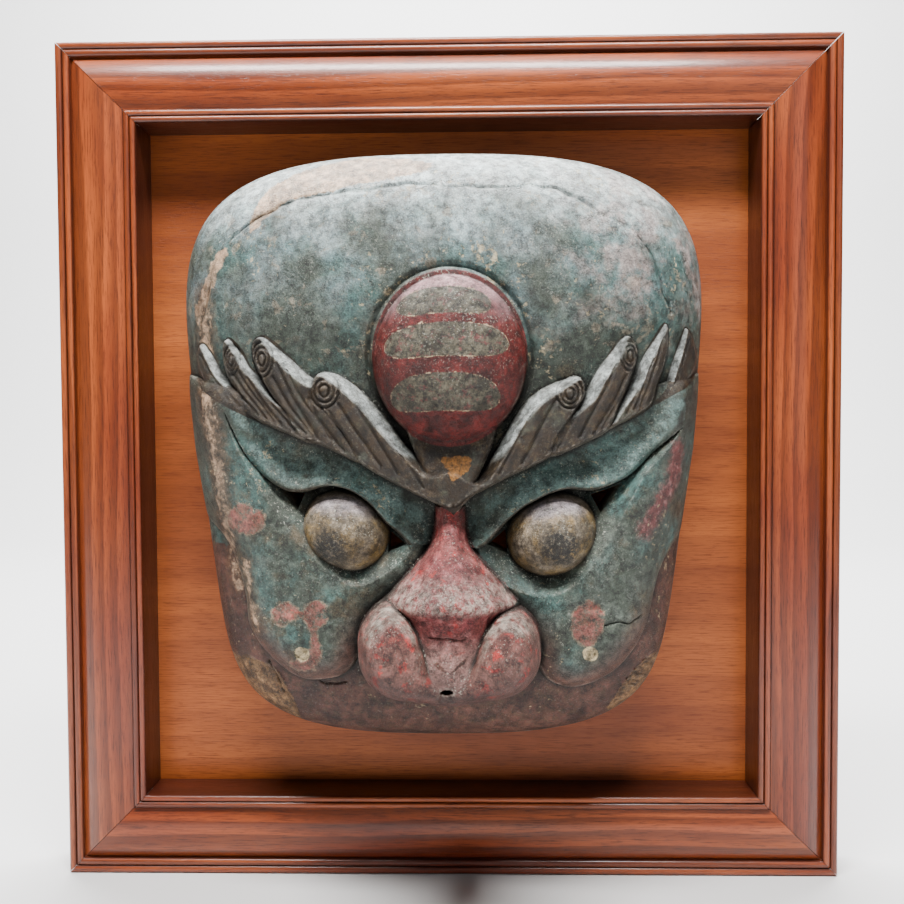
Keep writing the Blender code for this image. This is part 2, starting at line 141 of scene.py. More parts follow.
RIGHT_LOBES = (
    ((0, -12, 3), (8, 0, 4), (24, -7, 6), (34, 6, 7), (42, 20, 8), (50, 34, 8), (56, 43, 9), (62, 50, 9),
     (70, 56, 9), (79, 60.5, 8), (88, 64, 6), (95, 66, 4), (99.5, 64, 2), (102, 58, 2), (102, 50, 2.5),
     (98, 41, 4), (92, 31, 5), (83, 18, 5), (77, 7, 3), (46, -8, 3), (21, -21, 3), (6, -30, 3)),
    ((86, 40, 8), (102, 53, 8), (107, 62, 8), (113, 73, 9), (120, 83, 9), (125, 91, 7), (130, 95, 4),
     (134, 95.5, 2.5), (138, 92, 2), (141, 86, 2), (141, 77, 2.5), (137, 64, 4), (131, 48, 5), (122, 28, 4),
     (103, 17, 3), (77, 7, 3), (72, 20, 5)),
    ((126, 46, 6), (138, 62, 7), (142, 73, 8), (147, 84, 8), (153, 94, 7), (158, 102, 5), (162, 105.5, 3),
     (165, 102, 2), (165.5, 91, 2), (163, 75, 2.5), (158, 60, 4), (152, 43, 4), (127, 30, 3), (116, 26, 4)),
    ((154, 46, 5), (163, 57, 5), (166, 68, 6), (171, 83, 6), (175, 95, 5), (179, 103, 3), (184, 101, 3),
     (190, 93, 4), (194, 80, 5), (190, 67, 5), (178, 57, 4), (170, 53, 3), (149, 41, 3)),
)
LOBE_RISE = (14.0, 12.6, 11.6, 10.6)
LOBE_CROWN = 2.2
LOBE_LEAN = 2.0
LOBE_SINK = 1.2
BROW_LEVEL = 126.0
# Scrolls at the tips: middle, half width, half height
SCROLLS = (
    (-86, 56, 10.5, 12.0), (-132, 79, 8.0, 12.5), (-156, 79, 6.0, 10.5), (90, 53, 9.5, 10.5),
    (134, 80, 6.5, 10.5),
)
# Strands cut into the lobes, from the scrolls to the lower edge
STRANDS = (
    ((-97, 50), (-92, 38), (-82, 24), (-72, 12)), ((-76, 46), (-66, 30), (-54, 13), (-46, 1)), ((-64, 46),
    (-53, 28), (-42, 10), (-34, -4)), ((-50, 38), (-38, 18), (-26, 2), (-16, -14)), ((-84, 42), (-74, 27),
    (-62, 9)), ((-121, 76), (-112, 56), (-102, 38), (-92, 22)), ((-114, 72), (-104, 52), (-92, 36),
    (-82, 21)), ((-138, 66), (-128, 50), (-116, 36), (-108, 28)), ((-130, 64), (-119, 46), (-106, 31),
    (-100, 25)), ((-124, 66), (-114, 48), (-101, 31), (-95, 23)), ((-159, 67), (-151, 55), (-142, 46),
    (-136, 39)), ((-150, 70), (-142, 57), (-132, 45), (-124, 34)), ((-154, 67), (-146, 56), (-136, 44),
    (-130, 36)), ((-144, 66), (-136, 54), (-127, 42), (-119, 32)), ((-183, 84), (-176, 72), (-166, 60),
    (-158, 50)), ((-176, 80), (-170, 70), (-161, 58), (-150, 45)), ((96, 42), (86, 26), (76, 12)),
    ((80, 48), (70, 30), (62, 14), (56, 3)), ((100, 46), (92, 33), (86, 22), (82, 14)), ((66, 44),
    (56, 26), (46, 8), (40, -4)), ((50, 30), (40, 12), (30, -8)), ((139, 66), (133, 54), (126, 40),
    (120, 32)), ((131, 66), (124, 50), (114, 34), (108, 24)), ((135, 66), (128, 52), (119, 37),
    (113, 27)), ((124, 74), (116, 56), (106, 38), (98, 22)), ((164, 92), (159, 74), (153, 56), (148, 43)),
    ((160, 94), (154, 75), (148, 58), (142, 43)), ((156, 90), (150, 72), (144, 56), (138, 42)),
    ((151, 82), (145, 66), (138, 50), (132, 39)), ((182, 94), (176, 76), (170, 60)), ((178, 96),
    (172, 78), (166, 60), (162, 52)), ((174, 88), (168, 70), (161, 53)),
)
STRAND_DEPTH = 1.4
STRAND_WIDTH = 1.4
SCROLL_RINGS = (0.36, 0.68, 1.0)
SCROLL_DEPTH = 2.0
SCROLL_WIDTH = 1.1
SCROLL_EYE = 1.8            # how far a scroll's middle stands out
SCROLL_REACH = 1.3
PALE_FADE = (-4.0, 22.0)    # heights between which the pale bevels fade

# Wedge between the brows
ROOT = ((-35, 44), (-24, 16), (-15, -6), (-7, -24), (6, -28), (17, -23), (25, -6), (34, 14), (43, 44))
ROOT_SINK = 8.0             # how far the root's edge drops, and over what width
ROOT_ROLL = 5.0
ROOT_LEVELS = ((-300, 139.5), (-24, 139.5), (-8, 139), (8, 136.5), (24, 134), (300, 134))
WEDGE_STEP = -20.0
WEDGE_TIP = -35.0
WEDGE_HALF = 14.5
WEDGE_X = 6.5
WEDGE_LEVEL = 128.0
WEDGE_RISE = 8.0

# Eyes: lid edges and lower creases from the outer corner inwards, then the eyeballs
LEFT_LID = (
    (-163, 46), (-150, 16), (-139, -1), (-128, -12), (-117, -18), (-105, -19), (-93, -16), (-83, -15),
    (-70, -19), (-58, -27), (-46, -41), (-35, -50), (-27, -58),
)
LEFT_CREASE = (
    (-163, 46), (-153, 16), (-138, -11), (-126, -30), (-113, -49), (-99, -65), (-84, -77), (-70, -86),
    (-56, -85), (-40, -76), (-30, -67), (-25, -61),
)
RIGHT_LID = (
    (178, 30), (156, 12), (138, -6), (126, -13), (113, -18), (105, -19), (90, -18), (76, -22), (59, -31),
    (47, -41), (32, -56), (26, -60),
)
RIGHT_CREASE = (
    (178, 30), (162, 10), (146, -7), (134, -29), (124, -48), (114, -64), (98, -84), (80, -94), (61, -94),
    (39, -84), (28, -70), (24, -61),
)
LEFT_BALL = (-75.5, -50.0, 36.0, 31.5, -27.0)
RIGHT_BALL = (80.0, -52.5, 36.0, 31.5, 27.0)
BALL_LEVEL = 137.0
BALL_SINK = 2.0
BALL_POWER = 2.1
SOCKET_FLOOR = 99.0
FACET_SLOPE = 1.05
FACET_STEEPER = 0.9         # added between two distances out from the axis
STEEPER_AT = (112.0, 140.0)
SOCKET_REACH = 40.0
LID_REACH = 62.0
LID_RISE = 18.0
LID_KEEP = 0.16
LID_FALL = 19.0
LID_ROUND = 3.6
LID_END = 30.0
SLITS = (
    ((-124, -17), (-106, -20), (-110, -32)), ((-43, -48), (-29, -57), (-43, -64)), ((109, -22),
    (132, -13), (115, -35)), ((45, -48), (31, -58), (46, -65)),
)

# Cheeks, with the width of their rounded edge
LEFT_CHEEK = (
    (-260, 20, 60), (-205, -30, 60), (-172, -54, 44), (-160, -76, 32), (-154, -99, 26), (-152, -119, 24),
    (-145, -133, 24), (-136, -144, 24), (-127, -152, 24), (-117, -159, 24), (-105, -163, 24),
    (-92, -162, 24), (-80, -159, 24), (-71, -151, 24), (-64, -137, 24), (-50, -110, 30), (-20, -80, 40),
    (-12, -45, 40), (-14, -16, 20), (-60, 18, 20), (-120, 44, 20), (-172, 64, 20), (-260, 76, 40),
)
RIGHT_CHEEK = (
    (260, 20, 60), (205, -36, 60), (176, -62, 44), (164, -80, 32), (158, -100, 26), (154, -117, 24),
    (147, -134, 24), (140, -144, 24), (131, -154, 24), (121, -161, 24), (110, -166, 24), (97, -169, 24),
    (85, -167, 24), (74, -160, 24), (68, -148, 24), (54, -115, 30), (26, -85, 40), (18, -45, 40),
    (20, -16, 20), (66, 18, 20), (122, 44, 20), (172, 64, 20), (260, 76, 40),
)
CHEEK_RISE = 24.0
CHEEK_STEP = 0.22

# Nose
BRIDGE_HALF = (
    (-300, 56), (-108, 56), (-99, 53), (-90, 44.5), (-85, 40.5), (-72, 28.5), (-60, 18.5), (-48, 14),
    (-33, 12.5), (0, 12),
)
BRIDGE_TOP = (
    (-300, 166), (-160, 166), (-150, 165), (-138, 163), (-126, 162.5), (-116, 163.5), (-107, 167),
    (-101, 171), (-96, 172), (-80, 161), (-60, 145), (-33, 131), (0, 128),
)
BRIDGE_START = -29.0
BRIDGE_END = -157.0
BRIDGE_POWER = 2.0
BRIDGE_TUCK = 22.0          # sunk at the sides, between two heights and two distances out
TUCK_HEIGHTS = (-98.0, -112.0)
TUCK_OUT = (20.0, 50.0)
BRIDGE_CORNER = 142.0       # where the bridge's paint ends, on a line that slants up outwards
BRIDGE_SLANT = 0.9
NOSE_BLEND = 2.5
FACE_BLEND = 3.0
NOSE_FOOT = 100.0
NOWHERE = -200.0
MUZZLE = (
    (-66, -133, 22), (-64, -147, 22), (-56, -160, 22), (-42, -169, 22), (-25, -172, 20), (-6, -174.5, 19),
    (8, -175, 19), (20, -173, 19), (33, -171, 20), (48, -168, 22), (60, -161, 22), (69, -149, 22),
    (71, -135, 22), (69, -119, 20), (62, -107, 17), (51, -101, 13), (38, -102, 10), (27, -112, 10),
    (21, -123, 10), (17, -133, 10), (10, -140, 14), (3, -142, 18), (-4, -140, 14), (-9, -132, 10),
    (-12, -123, 10), (-17, -112, 10), (-27, -101, 10), (-39, -95, 12), (-50, -99, 16), (-59, -108, 19),
    (-65, -120, 20),
)
MUZZLE_LEVEL = 167.0
WINGS = ((-41, -133, 26, 30), (47, -133, 26, 30))
WING_RISE = 10.5
MUZZLE_POWER = 0.9

# Paint and losses
CROWN_CRACK = (
    (-186, 96), (-182, 112), (-176, 130), (-170, 151), (-155, 170), (-138, 182), (-113, 194), (-84, 199),
    (-57, 203), (-23, 206), (13, 205), (45, 204), (74, 204), (93, 197), (114, 184), (136, 172),
    (151, 155), (159, 133), (166, 112),
)
CRACKS = (
    ((-11, -117.5), (-5, -118.5), (3, -118), (9, -119), (15, -118.5)), ((-138, -151), (-134, -160),
    (-131, -170), (-128, -178)), ((-97, -166), (-90, -168), (-78, -167)), ((117, -118), (128, -115),
    (137, -117), (146, -112)),
)
LEFT_BREAK = (
    (-165, -150), (-157, -148), (-146, -152), (-137, -155), (-130, -163), (-124, -174), (-118, -190),
    (-120, -215), (-150, -215), (-190, -190), (-190, -150),
)
RIGHT_BREAK = (
    (126, -196), (131, -181), (137, -170), (145, -160), (152, -154), (165, -150), (200, -160),
    (200, -200), (150, -215),
)
FOREHEAD_PATCH = (
    (-142, 172), (-132, 181), (-120, 192), (-108, 198), (-91, 201), (-73, 205), (-54, 209), (-32, 213),
    (-17, 217), (-8, 224), (-25, 230), (-60, 234), (-95, 226), (-124, 212), (-140, 190),
)
SIDE_PATCH = (
    (-190, 118), (-183, 128), (-177, 141), (-170, 156), (-163, 162), (-160, 156), (-166, 147),
    (-171, 136), (-176, 124), (-182, 114),
)
RIDGE_STREAK = ((-181, 128), (-180, 95), (-176, 50), (-171, 20), (-168, -25), (-165, -60), (-161, -92))
CHEEK_STREAK = ((-151, -70), (-149, -88), (-146, -105), (-143, -122))
RED_STREAK = ((172, 12), (171, -6), (163, -22), (154, -38), (147, -48))
PINK_PATCH = ((-165, -38), (-154, -27), (-143, -28), (-133, -34), (-134, -44), (-145, -50), (-160, -48))
CLOUD = (
    (-129, -108), (-126, -102), (-119, -99), (-112, -102), (-106, -106), (-102, -100), (-95, -98),
    (-88, -102), (-86, -110), (-90, -116), (-95, -120), (-94, -128), (-92, -138), (-98, -150),
    (-112, -152), (-118, -146), (-104, -140), (-100, -130), (-101, -120), (-106, -113), (-114, -113),
    (-121, -118), (-127, -116),
)
CHEEK_PATCH = (
    (93, -110), (97, -102), (106, -98), (114, -103), (117, -114), (114, -126), (106, -133), (98, -130),
    (92, -121),
)
PUPILS = ((-85, -58, 15.0), (84, -58, 17.0))
PLUGS = ((-107, -139, 5.5), (106.5, -139, 5.5), (0.5, -160, 5.0))
OCHRE = ((-2, 7), (19, 8), (17, -1), (10, -7), (6, -9), (3, -3))
BARS = (((-33, 118), (34, 120), 9.5), ((-42, 90), (46, 92), 11.5), ((-38, 54), (40, 55), 13.0))
BAR_BOW = 9.0
CROWN_DEPTH = (0.5, 1.6)    # depth and width of the crown's crack, and what is added where it gapes
CROWN_WIDTH = (0.8, 0.6)
CRACK_DEPTH = 1.7
CRACK_WIDTH = 0.8
PLUG_DEPTH = 1.6
HOLE = (1.5, -155.5, 4.2, 1.5)
HOLE_DEPTH = 9.0
LEFT_LOSS = 3.0
RIGHT_LOSS = 5.0
TOOL_MARKS = ((0.35, 11.0, 21), (0.16, 4.2, 22))

FINE_STEPS = 540            # steps across the mask's grid, and its triangles after thinning
MASK_TRIANGLES = 176000
HOLLOW_SHARE = 9
SIDE_ROWS = 22
DEEP_SHARE = 4
TOP_LEVEL = 177.7
LIP_TOP = -60.0
FULL_CIRCLE = 720
SEED = 7
SLIT_LEVELS = (60.0, 190.0)
BEVEL_LEAN = 0.9            # how much a bevel that faces the middle counts as facing up
SIDE_REACH = 190.0
BACK_SKIN = 4.0
MASK_SHARP = 62.0
RAGGED_SIZE = 0.0065        # of the noise that frays the borders of the paint, and its reach
RAGGED_REACH = 9.0

# Rails: name, length, distance out from the middle, turn and where the grain starts
RAILS = (
    ("rail_bottom", FRAME_WIDTH, FRAME_HEIGHT / 2.0, 0.0, 1.3),
    ("rail_left", FRAME_HEIGHT, FRAME_WIDTH / 2.0, pi / 2.0, 4.7),
    ("rail_top", FRAME_WIDTH, FRAME_HEIGHT / 2.0, pi, 8.2),
    ("rail_right", FRAME_HEIGHT, FRAME_WIDTH / 2.0, -pi / 2.0, 12.9),
)
RAIL_RINGS = 140
RAIL_SHARP = 40.0
WAVY_FRONT = (-0.040, -0.044)
DOUBLES = 1e-6
BOARD_EASE = 0.0008
BOARD_GRAIN = 3.0

# Stage. Each light has its place, aim, size and colour
CAMERA_PLACE = (0.0219, -0.8687, 0.0373)
CAMERA_RIGHT = (0.99973048, 0.02261826, -0.00523248)
CAMERA_DOWN = (-0.00441452, -0.03606371, -0.99933974)
CAMERA_AHEAD = (-0.02279203, 0.9990935, -0.03595414)
CAMERA_LENS = 39.82
LIGHTS = (
    ("overhead", (-0.08, -0.72, 1.45), (0.0, -0.08, 0.0), (1.1, 0.32), (1.0, 0.98, 0.96)),
    ("backdrop", (0.0, 0.9, 2.4), (0.0, 3.0, 0.0), (3.0, 1.0), (1.0, 1.0, 1.0)),
    ("front", (0.9, -1.9, 0.5), (0.0, 0.0, 0.0), (1.2, 1.2), (0.95, 0.98, 1.0)),
)
FLOOR_COLOUR = (0.62, 0.62, 0.62, 1.0)
FLOOR_GAP = 0.0005
FLOOR_HALF = 6.0
FLOOR_FRONT = -4.0
FLOOR_BACK = 3.2
FLOOR_TOP = 4.0
FLOOR_BEND = 1.2

# Paints that the panel doesn't set
PAINTS = {
    "green_dark": "20251f", "slate": "5c645e", "lid": "5e7470", "earth": "4c3f2c", "pale": "c6d0d0",
    "sky": "86a4ac", "blush": "a08880", "plum": "58382f", "plum_dark": "3a2420", "gesso": "c0ae88",
    "cream": "c4b08c", "rose": "7e3f3c", "rose_dark": "682c2e", "rose_pale": "a06a68", "vermilion": "a82c28",
    "ash": "a39c90", "flaked": "8a7c68", "bone": "807565", "gold": "80683c", "umber": "4e4436",
    "umber_red": "5c3a32", "lilac": "a49ca6", "pupil": "24221f", "brow": "2a1d0d", "brow_dark": "17100a",
    "bevel": "a0a7a5", "oxblood_dark": "40110e", "dusty_rose": "c4959a", "bar": "565142",
    "bar_dark": "35322a", "tan": "b8977a", "dusty_tan": "9c846c", "pink": "8c4c46", "ochre": "86581f",
    "bare": "8a6a48", "bare_dark": "523a26", "side": "6c5a4c", "raw": "8a6c4c", "dirt": "14120e",
    "dust": "b8bcb8", "glint": "c4c6b8",
}


# Shaping, on arrays

def smooth_step(low, high, value):
    """0 below low, 1 above high, eased between."""
    share = np.clip((value - low) / (high - low), 0.0, 1.0)
    return share * share * (3.0 - 2.0 * share)


def soft_max(first, second, blend):
    """The larger of two surfaces, with a fillet where they meet."""
    share = np.clip(0.5 + 0.5 * (first - second) / blend, 0.0, 1.0)
    return second * (1.0 - share) + first * share + blend * share * (1.0 - share)


def through(points, value):
    """A smooth curve through a few points, read at value."""
    along = np.array([point[0] for point in points], float)
    level = np.array([point[1] for point in points], float)
    slope = np.gradient(level, along)
    place = np.clip(np.searchsorted(along, value) - 1, 0, len(along) - 2)
    span = along[place + 1] - along[place]
    share = np.clip((value - along[place]) / span, 0.0, 1.0)
    rise = level[place + 1] - level[place]
    start, end = slope[place] * span, slope[place + 1] * span
    bend = share * (1.0 - share) * ((1.0 - share) * (start - rise) + share * (rise - end))
    return level[place] + rise * share + bend


def roll(inside, radius=1.0):
    """Height of a rounded edge, 0 on the edge and 1 at radius inside it."""
    share = np.clip(inside / radius, 0.0, 1.0)
    return np.sqrt(1.0 - (1.0 - share) ** 2)


def drawn(points, closed=True, steps=5):
    """A smooth line through drawn points, open or closed. Each point may carry a bevel width."""
    points = np.array(points, float)
    count = len(points)
    pieces = []
    for place in range(count if closed else count - 1):
        ends = [place - 1, place, place + 1, place + 2]
        ends = [end % count for end in ends] if closed else [min(max(end, 0), count - 1) for end in ends]
        before, start, end, after = points[ends]
        for share in np.arange(steps) / steps:
            pieces.append(0.5 * (2.0 * start + (end - before) * share
                                 + (2.0 * before - 5.0 * start + 4.0 * end - after) * share ** 2
                                 + (3.0 * start - before - 3.0 * end + after) * share ** 3))
    pieces.append(points[0] if closed else points[-1])
    return np.array(pieces)


def nearby(x, z, line, reach):
    """Which points lie within reach of a line's box."""
    low, high = line.min(0) - reach, line.max(0) + reach
    return (x > low[0]) & (x < high[0]) & (z > low[1]) & (z < high[1])


def away(x, z, line, reach=12.0):
    """Distance from an open or closed line, no more than reach."""
    line = np.asarray(line, float)
    found = np.full(x.shape, reach)
    near = nearby(x, z, line, reach)
    px, pz = x[near], z[near]
    best = np.full(px.shape, reach * reach)
    for start, end in zip(line[:-1], line[1:]):
        run = end[:2] - start[:2]
        share = ((px - start[0]) * run[0] + (pz - start[1]) * run[1]) / max(run @ run, 1e-9)
        share = np.clip(share, 0.0, 1.0)
        gap = (px - start[0] - share * run[0]) ** 2 + (pz - start[1] - share * run[1]) ** 2
        best = np.minimum(best, gap)
    found[near] = np.sqrt(best)
    return found


def within(x, z, loop, reach=12.0):
    """How far inside a closed drawn form a point is: over the width of its bevel where the form has
    widths, in millimetres otherwise, and negative outside."""
    loop = np.asarray(loop, float)
    wide = loop.shape[1] > 2
    found = np.full(x.shape, -reach)
    near = nearby(x, z, loop, reach)
    px, pz = x[near], z[near]
    best = np.full(px.shape, 1e9)
    odd = np.zeros(px.shape, bool)
    for start, end in zip(loop[:-1], loop[1:]):
        run = end - start
        share = ((px - start[0]) * run[0] + (pz - start[1]) * run[1]) / max(run[:2] @ run[:2], 1e-9)
        share = np.clip(share, 0.0, 1.0)
        gap = np.hypot(px - start[0] - share * run[0], pz - start[1] - share * run[1])
        if wide:
            gap = gap / np.maximum(start[2] + share * run[2], 0.5)
        best = np.minimum(best, gap)
        if run[1] != 0.0:
            crossed = (start[1] > pz) != (end[1] > pz)
            odd ^= crossed & (px < start[0] + (pz - start[1]) / run[1] * run[0])
    found[near] = np.where(odd, best, -np.minimum(best, reach))
    return found


def hills(x, z, size, seed):
    """Smooth random relief from -1 to 1, with hills of the given size."""
    rows = 64
    lattice = np.random.default_rng(seed).uniform(-1.0, 1.0, (rows, rows))
    across, up = x / size, z / size
    left, low = np.floor(across).astype(int), np.floor(up).astype(int)
    share_x, share_z = across - left, up - low
    share_x, share_z = share_x ** 2 * (3.0 - 2.0 * share_x), share_z ** 2 * (3.0 - 2.0 * share_z)
    corner = [[lattice[(left + right) % rows, (low + high) % rows] for high in (0, 1)] for right in (0, 1)]
    lower = corner[0][0] * (1.0 - share_x) + corner[1][0] * share_x
    upper = corner[0][1] * (1.0 - share_x) + corner[1][1] * share_x
    return lower * (1.0 - share_z) + upper * share_z


def shaken(x, z, reach, size, seed):
    """Points moved about by up to a reach, in waves of a size."""
    return x + reach * hills(x, z, size, seed), z + reach * hills(x, z, size, seed + 1)


def outline_reach():
    """Distance from the outline's middle to its edge, for every direction round it."""
    turn = np.linspace(-pi, pi, FULL_CIRCLE + 1)
    low, high = np.zeros_like(turn), np.full_like(turn, 2.0 * HALF_HEIGHT)
    for _ in range(40):
        middle = 0.5 * (low + high)
        x, z = middle * np.cos(turn), middle * np.sin(turn)
        power = np.where(z > 0.0, CROWN_POWER, CHIN_POWER)
        half = HALF_WIDTH + z * np.where(z > 0.0, WIDEN_ABOVE, NARROW_BELOW)
        level = np.abs(x / half) ** SIDE_POWER + np.abs(z / HALF_HEIGHT) ** power
        low = np.where(level < 1.0, middle, low)
        high = np.where(level < 1.0, high, middle)
    return turn, 0.5 * (low + high)


OUTLINE_TURN, OUTLINE_REACH = outline_reach()


def reach_at(turn):
    """The outline's reach in the given directions."""
    return np.interp(turn, OUTLINE_TURN, OUTLINE_REACH)


def polar(x, z, inset=0.0):
    """Direction from the outline's middle, and the share of the way to the edge, or to a line inside it."""
    turn = np.arctan2(z - OUTLINE_Z, x - OUTLINE_X)
    return turn, np.hypot(x - OUTLINE_X, z - OUTLINE_Z) / (reach_at(turn) - inset)


def edge_level(turn):
    """Level of the front's edge above the board, round the outline."""
    up = np.sin(turn)
    return np.where(up > 0.0, SIDE_EDGE + (CROWN_EDGE - SIDE_EDGE) * up ** 2,
                    SIDE_EDGE + (CHIN_EDGE - SIDE_EDGE) * up ** 2)


def standoff(z):
    """How far the rim stands off the board: nothing, then a slanted cut up to the chin's gap."""
    return CHIN_STANDOFF * np.clip((JAW_START - z) / (JAW_START - JAW_END), 0.0, 1.0)


def mound(spread, foot, top, power=2.6):
    """A full round form: top at spread 0, foot at spread 1, nothing beyond."""
    round_form = foot + (top - foot) * np.sqrt(np.clip(1.0 - np.abs(spread) ** power, 0.0, 1.0))
    return np.where(np.abs(spread) < 1.0, round_form, NOWHERE)


def ball_spread(x, z, ball):
    """Distance from an eyeball's middle, 1 at its edge."""
    turn = radians(ball[4])
    out, up = x - ball[0], z - ball[1]
    along = out * cos(turn) + up * sin(turn)
    across = up * cos(turn) - out * sin(turn)
    return np.hypot(along / ball[2], across / ball[3])


def bar_reach(x, z, start, end, radius):
    """How far inside a bowed spindle-shaped stripe a point is."""
    run = end[0] - start[0]
    share = np.clip((x - start[0]) / run, 0.0, 1.0)
    middle = start[1] + (end[1] - start[1]) * share + BAR_BOW * (4.0 * share * (1.0 - share) - 1.0) * 0.5
    half = radius * np.sqrt(np.clip(1.0 - (2.0 * share - 1.0) ** 4, 0.0, 1.0))
    ends = np.minimum(x - start[0], end[0] - x)
    return np.minimum(half - np.abs(z - middle), ends)


def dome_level(x, z):
    """Level of the plain dome, level of the ground under the brows, place from the middle to the rim,
    and how much of the carving's relief is kept there."""
    turn, share = polar(x, z)
    rim = edge_level(turn)
    fall = np.sqrt(np.clip(1.0 - share ** DOME_POWER, 0.0, 1.0))
    hold = np.clip(fall * 1.5, 0.0, 1.0)
    wave = DOME_WAVE * hills(x, z, DOME_WAVE_SIZE, SEED) * hold
    level = rim + (through(FOREHEAD_LEVEL, z) - rim) * fall + wave
    return level, rim + (BROW_LEVEL - rim) * fall, share, hold


def carve_eyes(x, z, level, plain, hold, zones):
    """Sockets with their facets, the lids over them and the eyeballs."""
    out = np.abs(x - AXIS)
    lid_in = np.full(x.shape, -LID_REACH)
    foot = np.full(x.shape, SOCKET_FLOOR)
    ended = np.zeros(x.shape)
    for lid, crease in ((LEFT_LID, LEFT_CREASE), (RIGHT_LID, RIGHT_CREASE)):
        lid_line, crease_line = drawn(lid, False), drawn(crease, False)
        socket = within(x, z, np.vstack((lid_line, crease_line[::-1], lid_line[:1])))
        slope = FACET_SLOPE + FACET_STEEPER * smooth_step(*STEEPER_AT, out)
        floor = np.maximum(SOCKET_FLOOR, level - slope * away(x, z, crease_line, SOCKET_REACH))
        level = np.where(socket > 0.0, np.minimum(level, floor), level)
        side = 1.0 if lid[0][0] > 0.0 else -1.0
        edge = lid_line[np.argsort(lid_line[:, 0] * side)]
        high = np.interp(x * side, edge[:, 0] * side, edge[:, 1])
        above = (z > high) & (x * side > 0.0) & (x * side < lid[0][0] * side) & (socket < 0.0)
        above &= out > through(BRIDGE_HALF, z) - 2.0
        lid_in = np.where(above, away(x, z, lid_line, LID_REACH), lid_in)
        foot = np.where(above, floor, foot)
        ended = np.where(above, smooth_step(0.0, LID_END, (lid[0][0] - x) * side), ended)
    kept = LID_KEEP + (1.0 - LID_KEEP) * np.exp(-(np.maximum(lid_in, 0.0) / LID_FALL) ** 2)
    faded = smooth_step(LID_REACH, 0.6 * LID_REACH, lid_in)
    top = plain + LID_RISE * kept * faded * hold
    foot = np.minimum(foot, top)
    lid = foot + (top - foot) * roll(lid_in, LID_ROUND)
    level = np.where(lid_in > 0.0, level + (lid - level) * ended, level)
    nearest = np.full(x.shape, 9.0)
    for ball in (LEFT_BALL, RIGHT_BALL):
        spread = ball_spread(x, z, ball)
        surface = mound(spread, SOCKET_FLOOR - BALL_SINK, BALL_LEVEL, BALL_POWER)
        nearest = np.where(surface > level, spread, nearest)
        level = np.maximum(level, surface)
    zones["lid"] = lid_in
    zones["ball"] = np.maximum((1.0 - nearest) * LEFT_BALL[3], -12.0)
    return level


def carve_brows(x, z, level, ground, zones):
    """The wedge, and the brows' lobes with their scrolls and strands, the inner ones in front."""
    down = (z - WEDGE_TIP) / (WEDGE_STEP - WEDGE_TIP)
    narrow = WEDGE_HALF * np.clip(down, 0.0, 1.0)
    wedge = (np.abs(x - WEDGE_X) < narrow) & (z < WEDGE_STEP + 4.0) & (z > WEDGE_TIP)
    level = np.where(wedge, np.maximum(level, WEDGE_LEVEL + WEDGE_RISE * np.clip(down, 0.0, 1.0)), level)
    root = within(x, z, np.array(ROOT + ROOT[:1], float))
    rooted = through(ROOT_LEVELS, z) - ROOT_SINK + ROOT_SINK * roll(root, ROOT_ROLL)
    brow = np.maximum(np.minimum(root, 12.0), np.where(wedge, 1.0, -12.0))
    pale = np.zeros(x.shape)
    for lobes in (LEFT_LOBES, RIGHT_LOBES):
        for place, lobe in reversed(list(enumerate(lobes))):
            inside = within(x, z, drawn(lobe))
            lean = LOBE_LEAN * np.clip((inside - 1.0) / 4.0, 0.0, 1.0)
            crown = LOBE_CROWN * roll(inside, 3.0) - lean
            raised = ground + LOBE_RISE[place] * np.clip(inside, 0.0, 1.0) ** 0.9 + crown - LOBE_SINK
            over = (inside > 0.0) & (raised > level - 0.3)
            level = np.where(inside > 0.0, np.maximum(level, raised), level)
            pale = np.where(over, np.clip(1.25 - inside, 0.0, 1.0), pale)
            brow = np.maximum(brow, inside)
    for at_x, at_z, half_x, half_z in SCROLLS:
        ring = np.hypot((x - at_x) / half_x, (z - at_z) / half_z)
        size = 0.5 * (half_x + half_z)
        cuts = sum(np.exp(-((ring - radius) * size / SCROLL_WIDTH) ** 2) for radius in SCROLL_RINGS)
        scroll = SCROLL_EYE * np.clip(1.0 - ring, 0.0, 1.0) - SCROLL_DEPTH * cuts
        level = level + np.where(ring < SCROLL_REACH, scroll, 0.0)
    strand = np.full(x.shape, 12.0)
    for line in STRANDS:
        strand = np.minimum(strand, away(x, z, drawn(line, False)))
    level = np.where(root > 0.0, soft_max(level, rooted, 2.0), level)
    pale = pale * smooth_step(*PALE_FADE, z)
    level = level - np.where(brow > 0.9, STRAND_DEPTH * np.exp(-(strand / STRAND_WIDTH) ** 2), 0.0)
    zones["brow"] = brow
    zones["pale"] = pale
    return level


